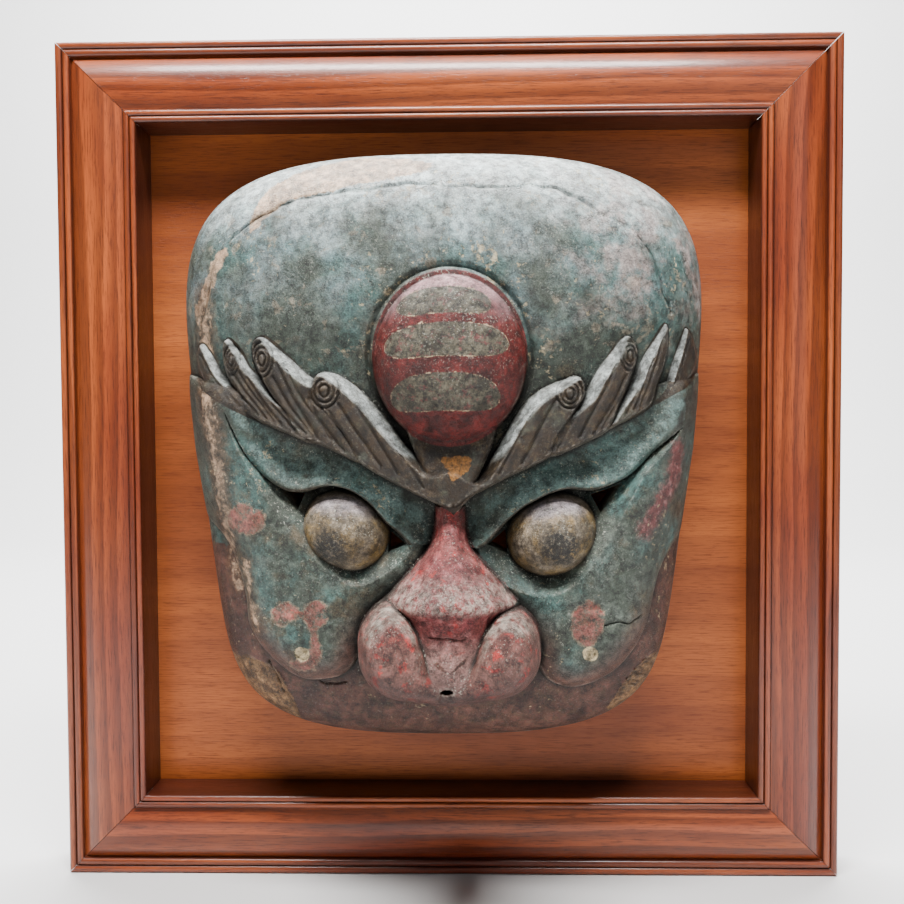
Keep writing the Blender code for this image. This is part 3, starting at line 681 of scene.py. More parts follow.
def nose_level(x, z, zones):
    """The bridge, running on down as the septum, and the muzzle with its two wings over it."""
    out = np.abs(x - AXIS - 0.5)
    half = np.maximum(through(BRIDGE_HALF, z), 1.0)
    bridge = mound(out / half, NOSE_FOOT, through(BRIDGE_TOP, z), BRIDGE_POWER)
    tuck = BRIDGE_TUCK * smooth_step(*TUCK_HEIGHTS, z) * smooth_step(*TUCK_OUT, out)
    bridge = np.where((z < BRIDGE_START) & (z > BRIDGE_END), bridge - tuck, NOWHERE)
    muzzle_in = within(x, z, drawn(MUZZLE), 30.0)
    top = np.full(x.shape, MUZZLE_LEVEL)
    for wing_x, wing_z, half_x, half_z in WINGS:
        top += WING_RISE * np.exp(-((x - wing_x) / half_x) ** 2 - ((z - wing_z) / half_z) ** 2)
    muzzle = NOSE_FOOT + (top - NOSE_FOOT) * roll(muzzle_in) ** MUZZLE_POWER
    muzzle = np.where(muzzle_in > 0.0, muzzle, NOWHERE)
    on_bridge = np.where(bridge > 0.0, np.minimum(half - out, z + BRIDGE_CORNER - BRIDGE_SLANT * out), -12.0)
    zones["nose"] = np.maximum(on_bridge, muzzle_in * 20.0)
    zones["muzzle"] = np.where(muzzle > bridge, muzzle_in * 20.0, -12.0)
    return soft_max(bridge, muzzle, NOSE_BLEND)


def carve(x, z):
    """The carved front: its level above the board, for each painted zone how far inside it is, and
    the place from the middle to the rim."""
    plain, ground, share, hold = dome_level(x, z)
    zones = {}
    cheek = np.maximum(within(x, z, drawn(LEFT_CHEEK), 60.0), within(x, z, drawn(RIGHT_CHEEK), 60.0))
    swell = np.where(cheek > 0.0, CHEEK_STEP + (1.0 - CHEEK_STEP) * roll(cheek), 0.0)
    level = carve_eyes(x, z, plain + CHEEK_RISE * swell * hold, plain, hold, zones)
    level = carve_brows(x, z, level, ground, zones)
    boss = np.hypot((x - BOSS_AT[0]) / BOSS_HALF[0], (z - BOSS_AT[1]) / BOSS_HALF[1])
    groove = np.exp(-((boss - GROOVE_AT) / GROOVE_WIDTH) ** 2)
    level = level - BOSS_GROOVE * groove * smooth_step(14.0, 40.0, z)
    level = np.maximum(level, mound(boss, BOSS_FOOT, BOSS_LEVEL, BOSS_POWER))
    level = soft_max(level, nose_level(x, z, zones), FACE_BLEND)
    zones["cheek"] = cheek * 20.0
    zones["lip"] = np.minimum(np.where(z < LIP_TOP, 12.0, -12.0), -cheek * 20.0)
    zones["boss"] = (1.0 - boss) * BOSS_HALF[0]
    zones["bars"] = np.maximum.reduce([bar_reach(x, z, *bar) for bar in BARS])
    return level, zones, share


def paint_places(x, z):
    """For each worn or differently painted patch, how far inside it a point is, in millimetres."""
    loops = {"bald": (FOREHEAD_PATCH, SIDE_PATCH), "pink": (PINK_PATCH, CLOUD, CHEEK_PATCH),
             "ochre": (OCHRE,)}
    places = {name: np.maximum.reduce([within(x, z, drawn(loop), 30.0) for loop in group])
              for name, group in loops.items()}
    lines = {"tan": ((RIDGE_STREAK, 6.0), (CHEEK_STREAK, 3.0)), "red": ((RED_STREAK, 9.0),)}
    for name, group in lines.items():
        places[name] = np.maximum.reduce([half - away(x, z, drawn(line, False), 40.0)
                                          for line, half in group])
    for name, discs in (("plug", PLUGS), ("pupil", PUPILS)):
        places[name] = np.maximum.reduce([size - np.hypot(x - at_x, z - at_z) for at_x, at_z, size in discs])
    places["crack"] = 4.0 - away(x, z, drawn(CROWN_CRACK, False), 30.0)
    return places


def weather(x, z, level, share):
    """Losses and hand work over the carved level: cracks, breaks, plugged holes, tool marks."""
    near_rim = np.clip((1.0 - share) * 12.0, 0.0, 1.0)
    crown = away(*shaken(x, z, 1.6, 9.0, 11), drawn(CROWN_CRACK, False))
    opened = smooth_step(-0.5, 0.6, hills(x, z, 30.0, 13))
    deep, wide = [least + more * opened for least, more in (CROWN_DEPTH, CROWN_WIDTH)]
    level = level - deep * np.exp(-(crown / wide) ** 2)
    for line in CRACKS:
        gap = away(*shaken(x, z, 0.7, 5.0, 14), drawn(line, False))
        level = level - CRACK_DEPTH * np.exp(-(gap / CRACK_WIDTH) ** 2)
    for at_x, at_z, radius in PLUGS:
        gap = np.hypot(x - at_x, z - at_z) + 0.9 * hills(x, z, 3.0, 16)
        sunk = smooth_step(radius + 1.0, radius - 1.5, gap)
        level = level - PLUG_DEPTH * sunk * (1.0 + 0.6 * hills(x, z, 2.4, 17))
    hole = np.hypot((x - HOLE[0]) / HOLE[2], (z - HOLE[1]) / HOLE[3])
    level = level - HOLE_DEPTH * smooth_step(1.15, 0.75, hole)
    rough = 0.55 * hills(x, z, 6.0, 18) + 0.45 * hills(x, z, 2.6, 19)
    left = within(x + 1.5 * rough, z + 1.5 * rough, drawn(LEFT_BREAK), 30.0)
    lost = LEFT_LOSS * smooth_step(0.0, 4.0, left) + 1.8 * rough
    level = level - np.where(left > 0.0, lost, 0.0) * near_rim
    right = within(x + 2.0 * rough, z + 2.0 * rough, drawn(RIGHT_BREAK), 30.0)
    fibre = hills(x * 0.35 + z * 0.9, z * 0.35 - x * 0.12, 1.6, 20)
    lost = RIGHT_LOSS * smooth_step(0.0, 5.0, right) + 2.6 * fibre
    level = level - np.where(right > 0.0, lost, 0.0) * near_rim
    marks = sum(height * hills(x, z, size, seed) for height, size, seed in TOOL_MARKS)
    level = level + marks * near_rim
    return np.minimum(level, TOP_LEVEL), np.maximum(left, right)


def blurred(values, times):
    """A grid of values, smoothed the given number of times."""
    for _ in range(times):
        padded = np.pad(values, 1, mode="edge")
        values = (padded[:-2, 1:-1] + padded[2:, 1:-1] + 2.0 * padded[1:-1, 1:-1]) / 4.0
        padded = np.pad(values, 1, mode="edge")
        values = (padded[1:-1, :-2] + padded[1:-1, 2:] + 2.0 * padded[1:-1, 1:-1]) / 4.0
    return values


def hollow_level(x, z):
    """Level of the hollow's smooth inside, a wall behind the front."""
    turn, share = polar(x, z, WALL)
    fall = np.sqrt(np.clip(1.0 - share ** HOLLOW_POWER, 0.0, 1.0))
    low = HOLLOW_LOW - WALL
    high = through(FOREHEAD_LEVEL, np.full_like(z, HOLLOW_CROWN)) - WALL
    crown = low + (high - low) * smooth_step(HOLLOW_STEP, HOLLOW_CROWN, z)
    rim = edge_level(turn) - WALL
    return np.maximum(rim + (crown - rim) * fall, standoff(z) + 0.1)


def ring_order(steps):
    """Places of a square grid's border points, in order round it."""
    last = steps
    low = [(place, 0) for place in range(last)]
    right = [(last, place) for place in range(last)]
    top = [(last - place, last) for place in range(last)]
    left = [(0, last - place) for place in range(last)]
    return [across * (steps + 1) + up for across, up in low + right + top + left]


def spread_grid(steps, inset):
    """Points of a square grid laid over the outline."""
    line = np.linspace(-1.0, 1.0, steps + 1)
    across, up = [part.ravel() for part in np.meshgrid(line, line, indexing="ij")]
    turn = np.arctan2(up, across)
    reach = np.maximum(np.abs(across), np.abs(up)) * (reach_at(turn) - inset)
    return OUTLINE_X + reach * np.cos(turn), OUTLINE_Z + reach * np.sin(turn)


def grid_faces(steps, first, flip):
    """Four-sided faces of a square grid whose points start at first."""
    across, up = [part.ravel() for part in np.meshgrid(np.arange(steps), np.arange(steps), indexing="ij")]
    corner = first + across * (steps + 1) + up
    order = [corner, corner + steps + 1, corner + steps + 2, corner + 1]
    return np.stack(order[::-1] if flip else order, 1).tolist()


def mask_shell(steps):
    """The whole shell of the mask as one closed mesh, and grids of how sharp, how proud and how broken
    its front is."""
    x, z = spread_grid(steps, 0.0)
    level, zones, share = carve(x, z)
    level, broken = weather(x, z, level, share)
    square = level.reshape(steps + 1, steps + 1)
    grids = {"crisp": (square - blurred(square, max(1, steps // 180)), steps),
             "ridge": (square - blurred(square, steps // 12), steps)}
    coarse = square[::DEEP_SHARE, ::DEEP_SHARE]
    grids["deep"] = (coarse - blurred(coarse, steps // 18), steps // DEEP_SHARE)
    grids["break"] = (broken, steps)
    points = [np.stack((x, level, z), 1)]
    border = ring_order(steps)
    ring_x, ring_z, ring_level = x[border], z[border], level[border]
    foot = SEAT_GAP / MM + standoff(ring_z)
    faces = grid_faces(steps, 0, False)
    count = len(x)
    above = np.array(border)
    size = len(border)
    for row in range(1, SIDE_ROWS + 1):
        down = row / SIDE_ROWS
        points.append(np.stack((ring_x, ring_level + (foot - ring_level) * down, ring_z), 1))
        below = count + np.arange(size)
        count += size
        faces += np.stack((above, np.roll(above, -1), np.roll(below, -1), below), 1)[:, ::-1].tolist()
        above = below
    coarse = steps // HOLLOW_SHARE
    in_x, in_z = spread_grid(coarse, WALL)
    in_level = hollow_level(in_x, in_z)
    in_border = np.array(ring_order(coarse))
    in_level[in_border] = SEAT_GAP / MM + standoff(in_z[in_border])
    points.append(np.stack((in_x, in_level, in_z), 1))
    faces += grid_faces(coarse, count, True)
    inner = in_border + count
    small = len(inner)
    share_of = [int(round(place * small / size)) % small for place in range(size)]
    for place in range(size):
        after = (place + 1) % size
        here, then = share_of[place], share_of[after]
        corners = [above[after], above[place], inner[here]]
        if then != here:
            corners.append(inner[then])
        faces.append([int(corner) for corner in corners])
    return np.vstack(points), faces, grids


def as_place(points):
    """Drawn x, level, z in the part's own frame, in metres."""
    return np.stack((points[:, 0] * MM, BOARD_FRONT - points[:, 1] * MM, points[:, 2] * MM), 1)


def read_grid(values, steps, x, z):
    """A grid's values at any place over the outline."""
    turn, share = polar(x, z)
    share = np.minimum(share, 1.0)
    square = np.maximum(np.abs(np.cos(turn)), np.abs(np.sin(turn)))
    across = (share * np.cos(turn) / square + 1.0) * 0.5 * steps
    up = (share * np.sin(turn) / square + 1.0) * 0.5 * steps
    left = np.clip(np.floor(across).astype(int), 0, steps - 1)
    low = np.clip(np.floor(up).astype(int), 0, steps - 1)
    share_x, share_z = across - left, up - low
    grid = values.reshape(steps + 1, steps + 1)
    lower = grid[left, low] * (1.0 - share_x) + grid[left + 1, low] * share_x
    upper = grid[left, low + 1] * (1.0 - share_x) + grid[left + 1, low + 1] * share_x
    return lower * (1.0 - share_z) + upper * share_z


# Meshes

def link_object(name, mesh):
    """A mesh as an object at the origin."""
    item = bpy.data.objects.new(name, mesh)
    bpy.context.scene.collection.objects.link(item)
    return item


def new_mesh_object(name, points, faces, edges=()):
    """An object made of points and faces."""
    mesh = bpy.data.meshes.new(name)
    mesh.from_pydata([tuple(point) for point in points], edges, faces)
    return link_object(name, mesh)


def object_from(name, bm):
    """An object made of an edited mesh, which is freed."""
    mesh = bpy.data.meshes.new(name)
    bm.to_mesh(mesh)
    bm.free()
    return link_object(name, mesh)


def settle(item):
    """Make an object's live modifiers into its plain mesh."""
    graph = bpy.context.evaluated_depsgraph_get()
    mesh = bpy.data.meshes.new_from_object(item.evaluated_get(graph))
    item.modifiers.clear()
    item.data = mesh
    mesh.name = item.name
    return item


def points_of(mesh):
    """A mesh's points as an array."""
    places = np.zeros(len(mesh.vertices) * 3)
    mesh.vertices.foreach_get("co", places)
    return places.reshape(-1, 3)


def put_attribute(mesh, name, values):
    """Store one number for each point."""
    attribute = mesh.attributes.new(name, "FLOAT", "POINT")
    attribute.data.foreach_set("value", np.asarray(values, np.float32))


def slit_cutters():
    """Prisms that pierce the shell at the corners of the eyes."""
    bm = bmesh.new()
    for slit in SLITS:
        near, far = [[bm.verts.new((x * MM, BOARD_FRONT - level * MM, z * MM)) for x, z in slit]
                     for level in SLIT_LEVELS]
        bm.faces.new(near)
        bm.faces.new(far[::-1])
        for place in range(len(slit)):
            after = (place + 1) % len(slit)
            bm.faces.new((near[place], far[place], far[after], near[after]))
    bmesh.ops.recalc_face_normals(bm, faces=bm.faces)
    return object_from("slits", bm)


def make_mask(steps, triangles):
    """The carved, hollow and pierced shell with its paint zones stored on its points."""
    points, faces, grids = mask_shell(steps)
    mask = new_mesh_object("mask_carving", as_place(points), faces)
    thin = mask.modifiers.new("thin", "DECIMATE")
    thin.ratio = min(1.0, triangles / (2.0 * len(faces)))
    settle(mask)
    cutter = slit_cutters()
    pierce = mask.modifiers.new("pierce", "BOOLEAN")
    pierce.operation = "DIFFERENCE"
    pierce.solver = "EXACT"
    pierce.object = cutter
    mesh = settle(mask).data
    bpy.data.objects.remove(cutter)
    places = points_of(mesh)
    x, z = places[:, 0] / MM, places[:, 2] / MM
    level = (BOARD_FRONT - places[:, 1]) / MM
    turn, share = polar(x, z)
    normals = np.zeros(len(mesh.vertices) * 3)
    mesh.vertex_normals.foreach_get("vector", normals)
    across, up = normals[::3], normals[2::3]
    zones = carve(x, z)[1]
    zones.update(paint_places(x, z))
    zones.update({name: read_grid(values, size, x, z) for name, (values, size) in grids.items()})
    zones["up"] = up
    zones["inward"] = up - BEVEL_LEAN * across * np.sign(x - AXIS)
    zones["side"] = np.where(share < 0.9995, (share - 1.0) * SIDE_REACH, edge_level(turn) - level)
    zones["back"] = np.where((level < hollow_level(x, z) + BACK_SKIN) & (share < 0.99), 1.0, 0.0)
    for name, values in zones.items():
        put_attribute(mesh, "zone_" + name, values)
    mesh.shade_smooth()
    mesh.set_sharp_from_angle(angle=radians(MASK_SHARP))
    return mask


# Node trees

def plug(tree, socket, value):
    """Link a socket to a value of the tree, or set its own value."""
    if isinstance(value, Value):
        tree.links.new(value.socket, socket)
    elif value is not None:
        if isinstance(value, tuple) and len(value) < len(socket.default_value):
            value = (*value, 1.0)
        socket.default_value = value


def add(tree, kind, *ordered, out=0, setup=(), **labelled):
    """One output of a new node. Inputs come in order or by label, with _ for a space."""
    node = tree.nodes.new(kind)
    for name, value in dict(setup).items():
        setattr(node, name, value)
    for socket, value in zip(node.inputs, ordered):
        plug(tree, socket, value)
    for label, value in labelled.items():
        plug(tree, node.inputs[label.replace("_", " ")], value)
    return Value(tree, node.outputs[out])


class Value:
    """A number, place or colour inside a node tree, for use in plain sums."""

    def __init__(self, tree, socket):
        self.tree, self.socket = tree, socket

    def maths(self, operation, *values):
        return add(self.tree, "ShaderNodeMath", *values, setup={"operation": operation})

    def __add__(self, other):
        return self.maths("ADD", self, other)

    def __sub__(self, other):
        return self.maths("SUBTRACT", self, other)

    def __rsub__(self, other):
        return self.maths("SUBTRACT", other, self)

    def __mul__(self, other):
        return self.maths("MULTIPLY", self, other)

    def __truediv__(self, other):
        return self.maths("DIVIDE", self, other)

    def __rtruediv__(self, other):
        return self.maths("DIVIDE", other, self)

    def ramp(self, low, high, to_low=0.0, to_high=1.0, kind="SMOOTHSTEP"):
        """Taken from one range to another and held at its ends. Low may be above high."""
        return add(self.tree, "ShaderNodeMapRange", out="Result", setup={"interpolation_type": kind},
                   Value=self, From_Min=low, From_Max=high, To_Min=to_low, To_Max=to_high)

    def noise(self, scale, detail=2.0, rough=0.5, warp=0.0, out=0):
        return add(self.tree, "ShaderNodeTexNoise", out=out, Vector=self, Scale=scale, Detail=detail,
                   Roughness=rough, Distortion=warp)

    def outputs(self):
        """All outputs of the node that this value comes from, by name."""
        return {output.name: Value(self.tree, output) for output in self.socket.node.outputs}

    def apart(self):
        """This place's x, y and z."""
        return add(self.tree, "ShaderNodeSeparateXYZ", self).outputs().values()


def joined(tree, *parts):
    """A place made of x, y and z."""
    return add(tree, "ShaderNodeCombineXYZ", *parts)


def blend(tree, share, first, second, kind="MIX"):
    """One colour laid over another."""
    unused = (None,) * 5
    return add(tree, "ShaderNodeMix", share, *unused, first, second, out=2,
               setup={"data_type": "RGBA", "blend_type": kind, "clamp_factor": True})


def new_group(name, results, kind="ShaderNodeTree", **inputs):
    """An empty node group and its inputs. An input is given as its first value or as its kind, and a
    result as its name and kind."""
    tree = bpy.data.node_groups.new(name, kind)
    kinds = {float: "Float", int: "Int"}
    for label, value in inputs.items():
        number = kinds.get(type(value))
        socket = tree.interface.new_socket(label.replace("_", " "), in_out="INPUT",
                                           socket_type="NodeSocket" + (number or value))
        if number:
            socket.default_value = value
    for label, result in results.items():
        tree.interface.new_socket(label, in_out="OUTPUT", socket_type="NodeSocket" + result)
    start = tree.nodes.new("NodeGroupInput")
    return tree, *[Value(tree, start.outputs[label.replace("_", " ")]) for label in inputs]


def finish_group(tree, **results):
    """Wire a group's results to its output node."""
    end = tree.nodes.new("NodeGroupOutput")
    for label, value in results.items():
        plug(tree, end.inputs[label], value)
    return tree


def use_group(place, group, **inputs):
    """A shader group's results at a place, by name."""
    return add(place.tree, "ShaderNodeGroup", setup={"node_tree": group}, Vector=place, **inputs).outputs()


def patches_group():
    """Ragged patches, more of them where the bias is high."""
    tree, place, size, amount, edge, bias = new_group(
        "Ragged patches", {"Mask": "Float"}, Vector="Vector", Size=0.01, Amount=0.4, Edge=0.04, Bias=0.0)
    lifted = place.noise(1.0 / size, 8.0, 0.68, 0.3) + bias
    middle = amount.ramp(0.0, 1.0, 0.75, 0.25, "LINEAR")
    return finish_group(tree, Mask=lifted.ramp(middle - edge, middle + edge))


def grain_group():
    """Wood grain along X: broad rings, fibres, pores and clouds of colour."""
    tree, place, ring, fibre, waviness, stretch = new_group(
        "Wood grain", dict.fromkeys(("Rings", "Fibres", "Pores", "Clouds"), "Float"), Vector="Vector",
        Ring=0.012, Fibre=0.0009, Waviness=1.0, Stretch=0.04)
    x, y, z = place.apart()
    along = x * stretch

    def lengthwise(factor):
        return joined(tree, along * factor, y, z)

    swing = (lengthwise(2.2).noise(16.0, 3.0, 0.5) - 0.5) * waviness
    ring_scale, fibre_scale = 1.0 / ring, 1.0 / fibre
    phase = (y + swing * 0.05) * ring_scale + z * (ring_scale * 0.6)
    wave = phase.maths("FRACT", phase)
    pores = lengthwise(2.0).noise(fibre_scale * 1.3, 2.0, 0.5)
    return finish_group(tree, Rings=wave.ramp(0.0, 0.8) * wave.ramp(1.0, 0.86),
                        Fibres=lengthwise(1.0).noise(fibre_scale, 5.0, 0.7),
                        Pores=pores.ramp(0.60, 0.68), Clouds=lengthwise(6.0).noise(14.0, 4.0, 0.55))


def mottling_group():
    """Fine mottling of old paint: a value round one and a height."""
    tree, place, size, strength = new_group(
        "Old mottling", {"Value": "Float", "Height": "Float"}, Vector="Vector", Size=0.004, Strength=0.5)
    scale = 1.0 / size
    broad, fine = place.noise(scale * 0.2, 5.0, 0.6, 0.4), place.noise(scale, 6.0, 0.72)
    value = ((broad - 0.5) + (fine - 0.5)) * (strength * 2.4) + 1.0
    return finish_group(tree, Value=value.maths("MAXIMUM", value, 0.2), Height=fine)


def crackle_group():
    """Fine cracks of dried paint."""
    tree, place, size, width = new_group("Crackle", {"Mask": "Float"}, Vector="Vector", Size=0.02, Width=0.03)
    scale = 1.0 / size
    bend = place.noise(scale * 1.4, 3.0, 0.6, out="Color")
    shifted = add(tree, "ShaderNodeVectorMath", bend, joined(tree, size, size, size), place,
                  setup={"operation": "MULTIPLY_ADD"})
    cells = add(tree, "ShaderNodeTexVoronoi", out="Distance", setup={"feature": "DISTANCE_TO_EDGE"},
                Vector=shifted, Scale=scale)
    return finish_group(tree, Mask=cells.ramp(0.0, width, 1.0, 0.0))


# Paint

def tint(code):
    """A colour written as six hexadecimal digits, made linear."""
    parts = [int(code[place:place + 2], 16) / 255.0 for place in (0, 2, 4)]
    return tuple(part / 12.92 if part <= 0.04045 else ((part + 0.055) / 1.055) ** 2.4 for part in parts)


def new_material(name):
    """A material with only its Principled shader, and its tree."""
    material = bpy.data.materials.new(name)
    material.use_nodes = True
    return material, material.node_tree, material.node_tree.nodes["Principled BSDF"]


def set_shader(shader, relief, strength, distance, **inputs):
    """Set a shader's inputs by label, and its bump from a relief."""
    bump = add(relief.tree, "ShaderNodeBump", Height=relief, Strength=strength, Distance=distance,
               out="Normal")
    for label, value in dict(inputs, Normal=bump).items():
        plug(relief.tree, shader.inputs[label.replace("_", " ")], value)


class Painter:
    """One material's tree with what its layers share: the place, the colours and the groups."""

    def __init__(self, name, groups, colours):
        self.material, self.tree, self.shader = new_material(name)
        self.groups, self.colours = groups, colours
        self.place = add(self.tree, "ShaderNodeTexCoord", out="Object")
        self.across, _, self.height = self.place.apart()
        self.ragged = (self.place.noise(1.0 / RAGGED_SIZE, 8.0, 0.72) - 0.5) * RAGGED_REACH

    def zone(self, name):
        """A number stored on the piece's points."""
        return add(self.tree, "ShaderNodeAttribute", out="Fac", setup={"attribute_name": "zone_" + name})

    def noise(self, size, low=0.0, high=1.0, rough=0.6, detail=None):
        """Noise of a size in metres, taken to 0 at low and 1 at high. Rough noise goes on finer."""
        detail = detail or (8.0 if rough > 0.6 else 6.0)
        return self.place.noise(1.0 / size, detail, rough).ramp(low, high)

    def inside(self, name, start, end, ragged=0.35):
        """A zone's mask with a ragged edge, start and end in millimetres inside its border."""
        return (self.ragged * ragged + self.zone(name)).ramp(start, end)

    def patches(self, size, amount, edge=0.05, bias=0.0):
        """Ragged patches of a size in metres."""
        return use_group(self.place, self.groups["patches"], Size=size, Amount=amount, Edge=edge,
                         Bias=bias)["Mask"]

    def coat(self, colour, *layers):
        """A first colour with others over it, each layer as its colour and its mask."""
        for top, mask in layers:
            colour = blend(self.tree, mask, self.colours.get(colour, colour), self.colours.get(top, top))
        return colour


def ground_paint(kit):
    """Dark green over the dome and cheeks, darkened with painted shade on the lower forehead, and towards the
    crown dusty, rubbed pale and brightened with a painted sheen.
    """
    swayed = kit.noise(0.06) * 0.10 + kit.height
    middle = swayed.ramp(0.12, 0.22)
    # painted shade: the lower forehead, which turns away from the light above, is darkened towards the brows
    shade = swayed.ramp(0.165, 0.09) * kit.height.ramp(-0.01, 0.05)
    flaked = kit.patches(0.016, 0.30, 0.015) * kit.height.ramp(0.03, 0.10)
    blush = kit.across.ramp(0.05, 0.14) * middle * kit.noise(0.03, 0.45, 0.6, 0.7)
    return kit.coat("green", ("teal", kit.noise(0.055, 0.44, 0.60)),
                    ("slate", kit.noise(0.024, 0.46, 0.66, 0.68) * 0.45),
                    ("earth", kit.noise(0.030, 0.50, 0.66, 0.72) * 0.8),
                    ("green_dark", kit.noise(0.014, 0.50, 0.62, 0.8) * 0.7),
                    # pale crown: partly rubbed paint, partly a painted sheen of the light from above
                    ("pale", swayed.ramp(0.195, 0.285) * (kit.patches(0.012, 0.60, 0.12) * 0.50 + 0.35)),
                    ("sky", middle * kit.patches(0.030, 0.42, 0.18) * 0.45),
                    ("green_dark", shade * 0.66), ("flaked", flaked * 0.45), ("blush", blush * 0.6))


def lip_paint(kit):
    """Purple brown of the lip band below the cheeks."""
    return kit.coat("plum", ("plum_dark", kit.noise(0.022, 0.42, 0.62, 0.7)),
                    ("earth", kit.noise(0.006, 0.46, 0.66, 0.75) * 0.6))


def nose_paint(kit):
    """Old red, flaked bright in places, rubbed to grey on what stands out, rubbed grey and lit with a painted
    highlight on the muzzle's upward-facing lower rim, brown underneath.
    """
    height, muzzle = kit.height, kit.zone("muzzle")
    shelf = height.ramp(-0.070, -0.090) * height.ramp(-0.104, -0.098)
    wing = kit.inside("muzzle", 0.0, 2.0)
    # the muzzle's lower rim: rubbed to grey and, since it is kept to what faces up, partly a painted highlight
    rim = muzzle.ramp(2.0, 7.0) * muzzle.ramp(22.0, 12.0) * height.ramp(-0.138, -0.122)
    rim = rim * kit.zone("up").ramp(0.15, 0.60) * kit.noise(0.007, 0.36, 0.60, 0.78)
    return kit.coat("rose", ("rose_dark", kit.noise(0.016, 0.38, 0.60, 0.7)),
                    ("rose_pale", kit.noise(0.007, 0.50, 0.64, 0.75) * 0.55),
                    ("ash", shelf * kit.noise(0.0045, 0.38, 0.60, 0.78) * 0.65),
                    ("vermilion", kit.patches(0.012, 0.30, 0.03) * 0.7),
                    ("ash", height.ramp(-0.112, -0.134) * 0.30), ("umber_red", wing * 0.7),
                    ("vermilion", wing * kit.patches(0.010, 0.34, 0.04) * 0.75), ("ash", rim * 0.8),
                    ("plum_dark", height.ramp(-0.130, -0.158) * 0.75))


def eye_paint(kit):
    """Worn gold over bone, with a painted lilac sheen on its upper side and a dark scribbled pupil."""
    return kit.coat("bone", ("gold", kit.noise(0.015, 0.42, 0.62, 0.7)),
                    ("umber", kit.noise(0.012, 0.40, 0.58, 0.8) * 0.85),
                    # painted sheen: lilac grey where the eyeball faces up
                    ("lilac", kit.zone("up").ramp(0.40, 0.85) * 0.6),
                    ("gold", (1.0 - kit.inside("ball", 2.0, 6.0, 0.4)) * 0.6),
                    ("pupil", kit.inside("pupil", -4.0, 8.0, 0.9) * kit.noise(0.0030, 0.34, 0.54, 0.8)))


def brow_paint(kit):
    """Brown grey lobes whose upper bevels are rubbed pale and carry a painted highlight where they face up or
    inwards.
    """
    # pale bevels: partly rubbed paint, partly a painted highlight, kept to the faces that turn up or inwards
    bevel = kit.zone("pale").ramp(0.10, 0.50) * kit.zone("inward").ramp(0.15, 0.60)
    return kit.coat("brow", ("brow_dark", kit.noise(0.011, 0.40, 0.62, 0.7)),
                    ("earth", kit.noise(0.007, 0.48, 0.66, 0.8) * 0.7),
                    ("green", kit.noise(0.02, 0.52, 0.66) * 0.4),
                    ("bevel", bevel * (kit.noise(0.006, 0.38, 0.60, 0.8) * 0.6 + 0.3)))


def boss_paint(kit):
    """Dark red with a painted highlight in pale rose on its top, and plain dark stripes that were once
    outlined in cream.
    """
    inner = kit.inside("boss", 3.0, 5.0)
    mottled = kit.coat("bar", ("bar_dark", kit.noise(0.004, 0.42, 0.58, 0.75)),
                       ("rose_dark", kit.patches(0.005, 0.34, 0.05) * 0.6))
    edge = kit.inside("bars", -1.0, -0.5) * (1.0 - kit.inside("bars", -0.2, 0.4)) * inner
    return kit.coat("oxblood", ("oxblood_dark", kit.noise(0.012, 0.42, 0.62, 0.7)),
                    # painted highlight: pale rose where the boss faces up
                    ("dusty_rose", kit.zone("up").ramp(0.25, 0.85) * 0.85),
                    (mottled, kit.inside("bars", -0.8, 0.2) * inner),
                    ("cream", edge * kit.noise(0.005, 0.50, 0.60) * 0.7))


def worn_patches(kit, colour):
    """Lost paint: gesso and wood on the forehead and the ridges, red and pink remains on the cheeks."""
    plaster = kit.coat("tan", ("dusty_tan", kit.noise(0.012, 0.40, 0.62, 0.7)))
    pink = kit.coat("pink", ("vermilion", kit.patches(0.010, 0.36, 0.05)),
                    ("umber", kit.noise(0.010, 0.44, 0.60, 0.75) * 0.8))
    red = kit.coat("rose_dark", ("rose_pale", kit.patches(0.006, 0.38, 0.06)))
    streak = kit.inside("tan", 0.0, 3.0, 2.6) * kit.noise(0.010, 0.42, 0.54, 0.78)
    remains = kit.noise(0.009, 0.36, 0.54, 0.75)
    return kit.coat(colour, (plaster, kit.inside("bald", -1.0, 0.6, 1.4) * 0.9),
                    ("bare_dark", kit.inside("tan", -8.0, 1.0, 2.4) * 0.65), (plaster, streak * 0.8),
                    ("dusty_tan", kit.inside("pink", -1.0, 0.0, 1.2) * remains * 0.5),
                    (pink, kit.inside("pink", 0.2, 1.2, 1.2) * remains * 0.85),
                    (red, kit.inside("red", -1.0, 8.0, 2.4) * 0.8),
                    ("gesso", kit.inside("plug", -0.6, 0.4, 0.5)))


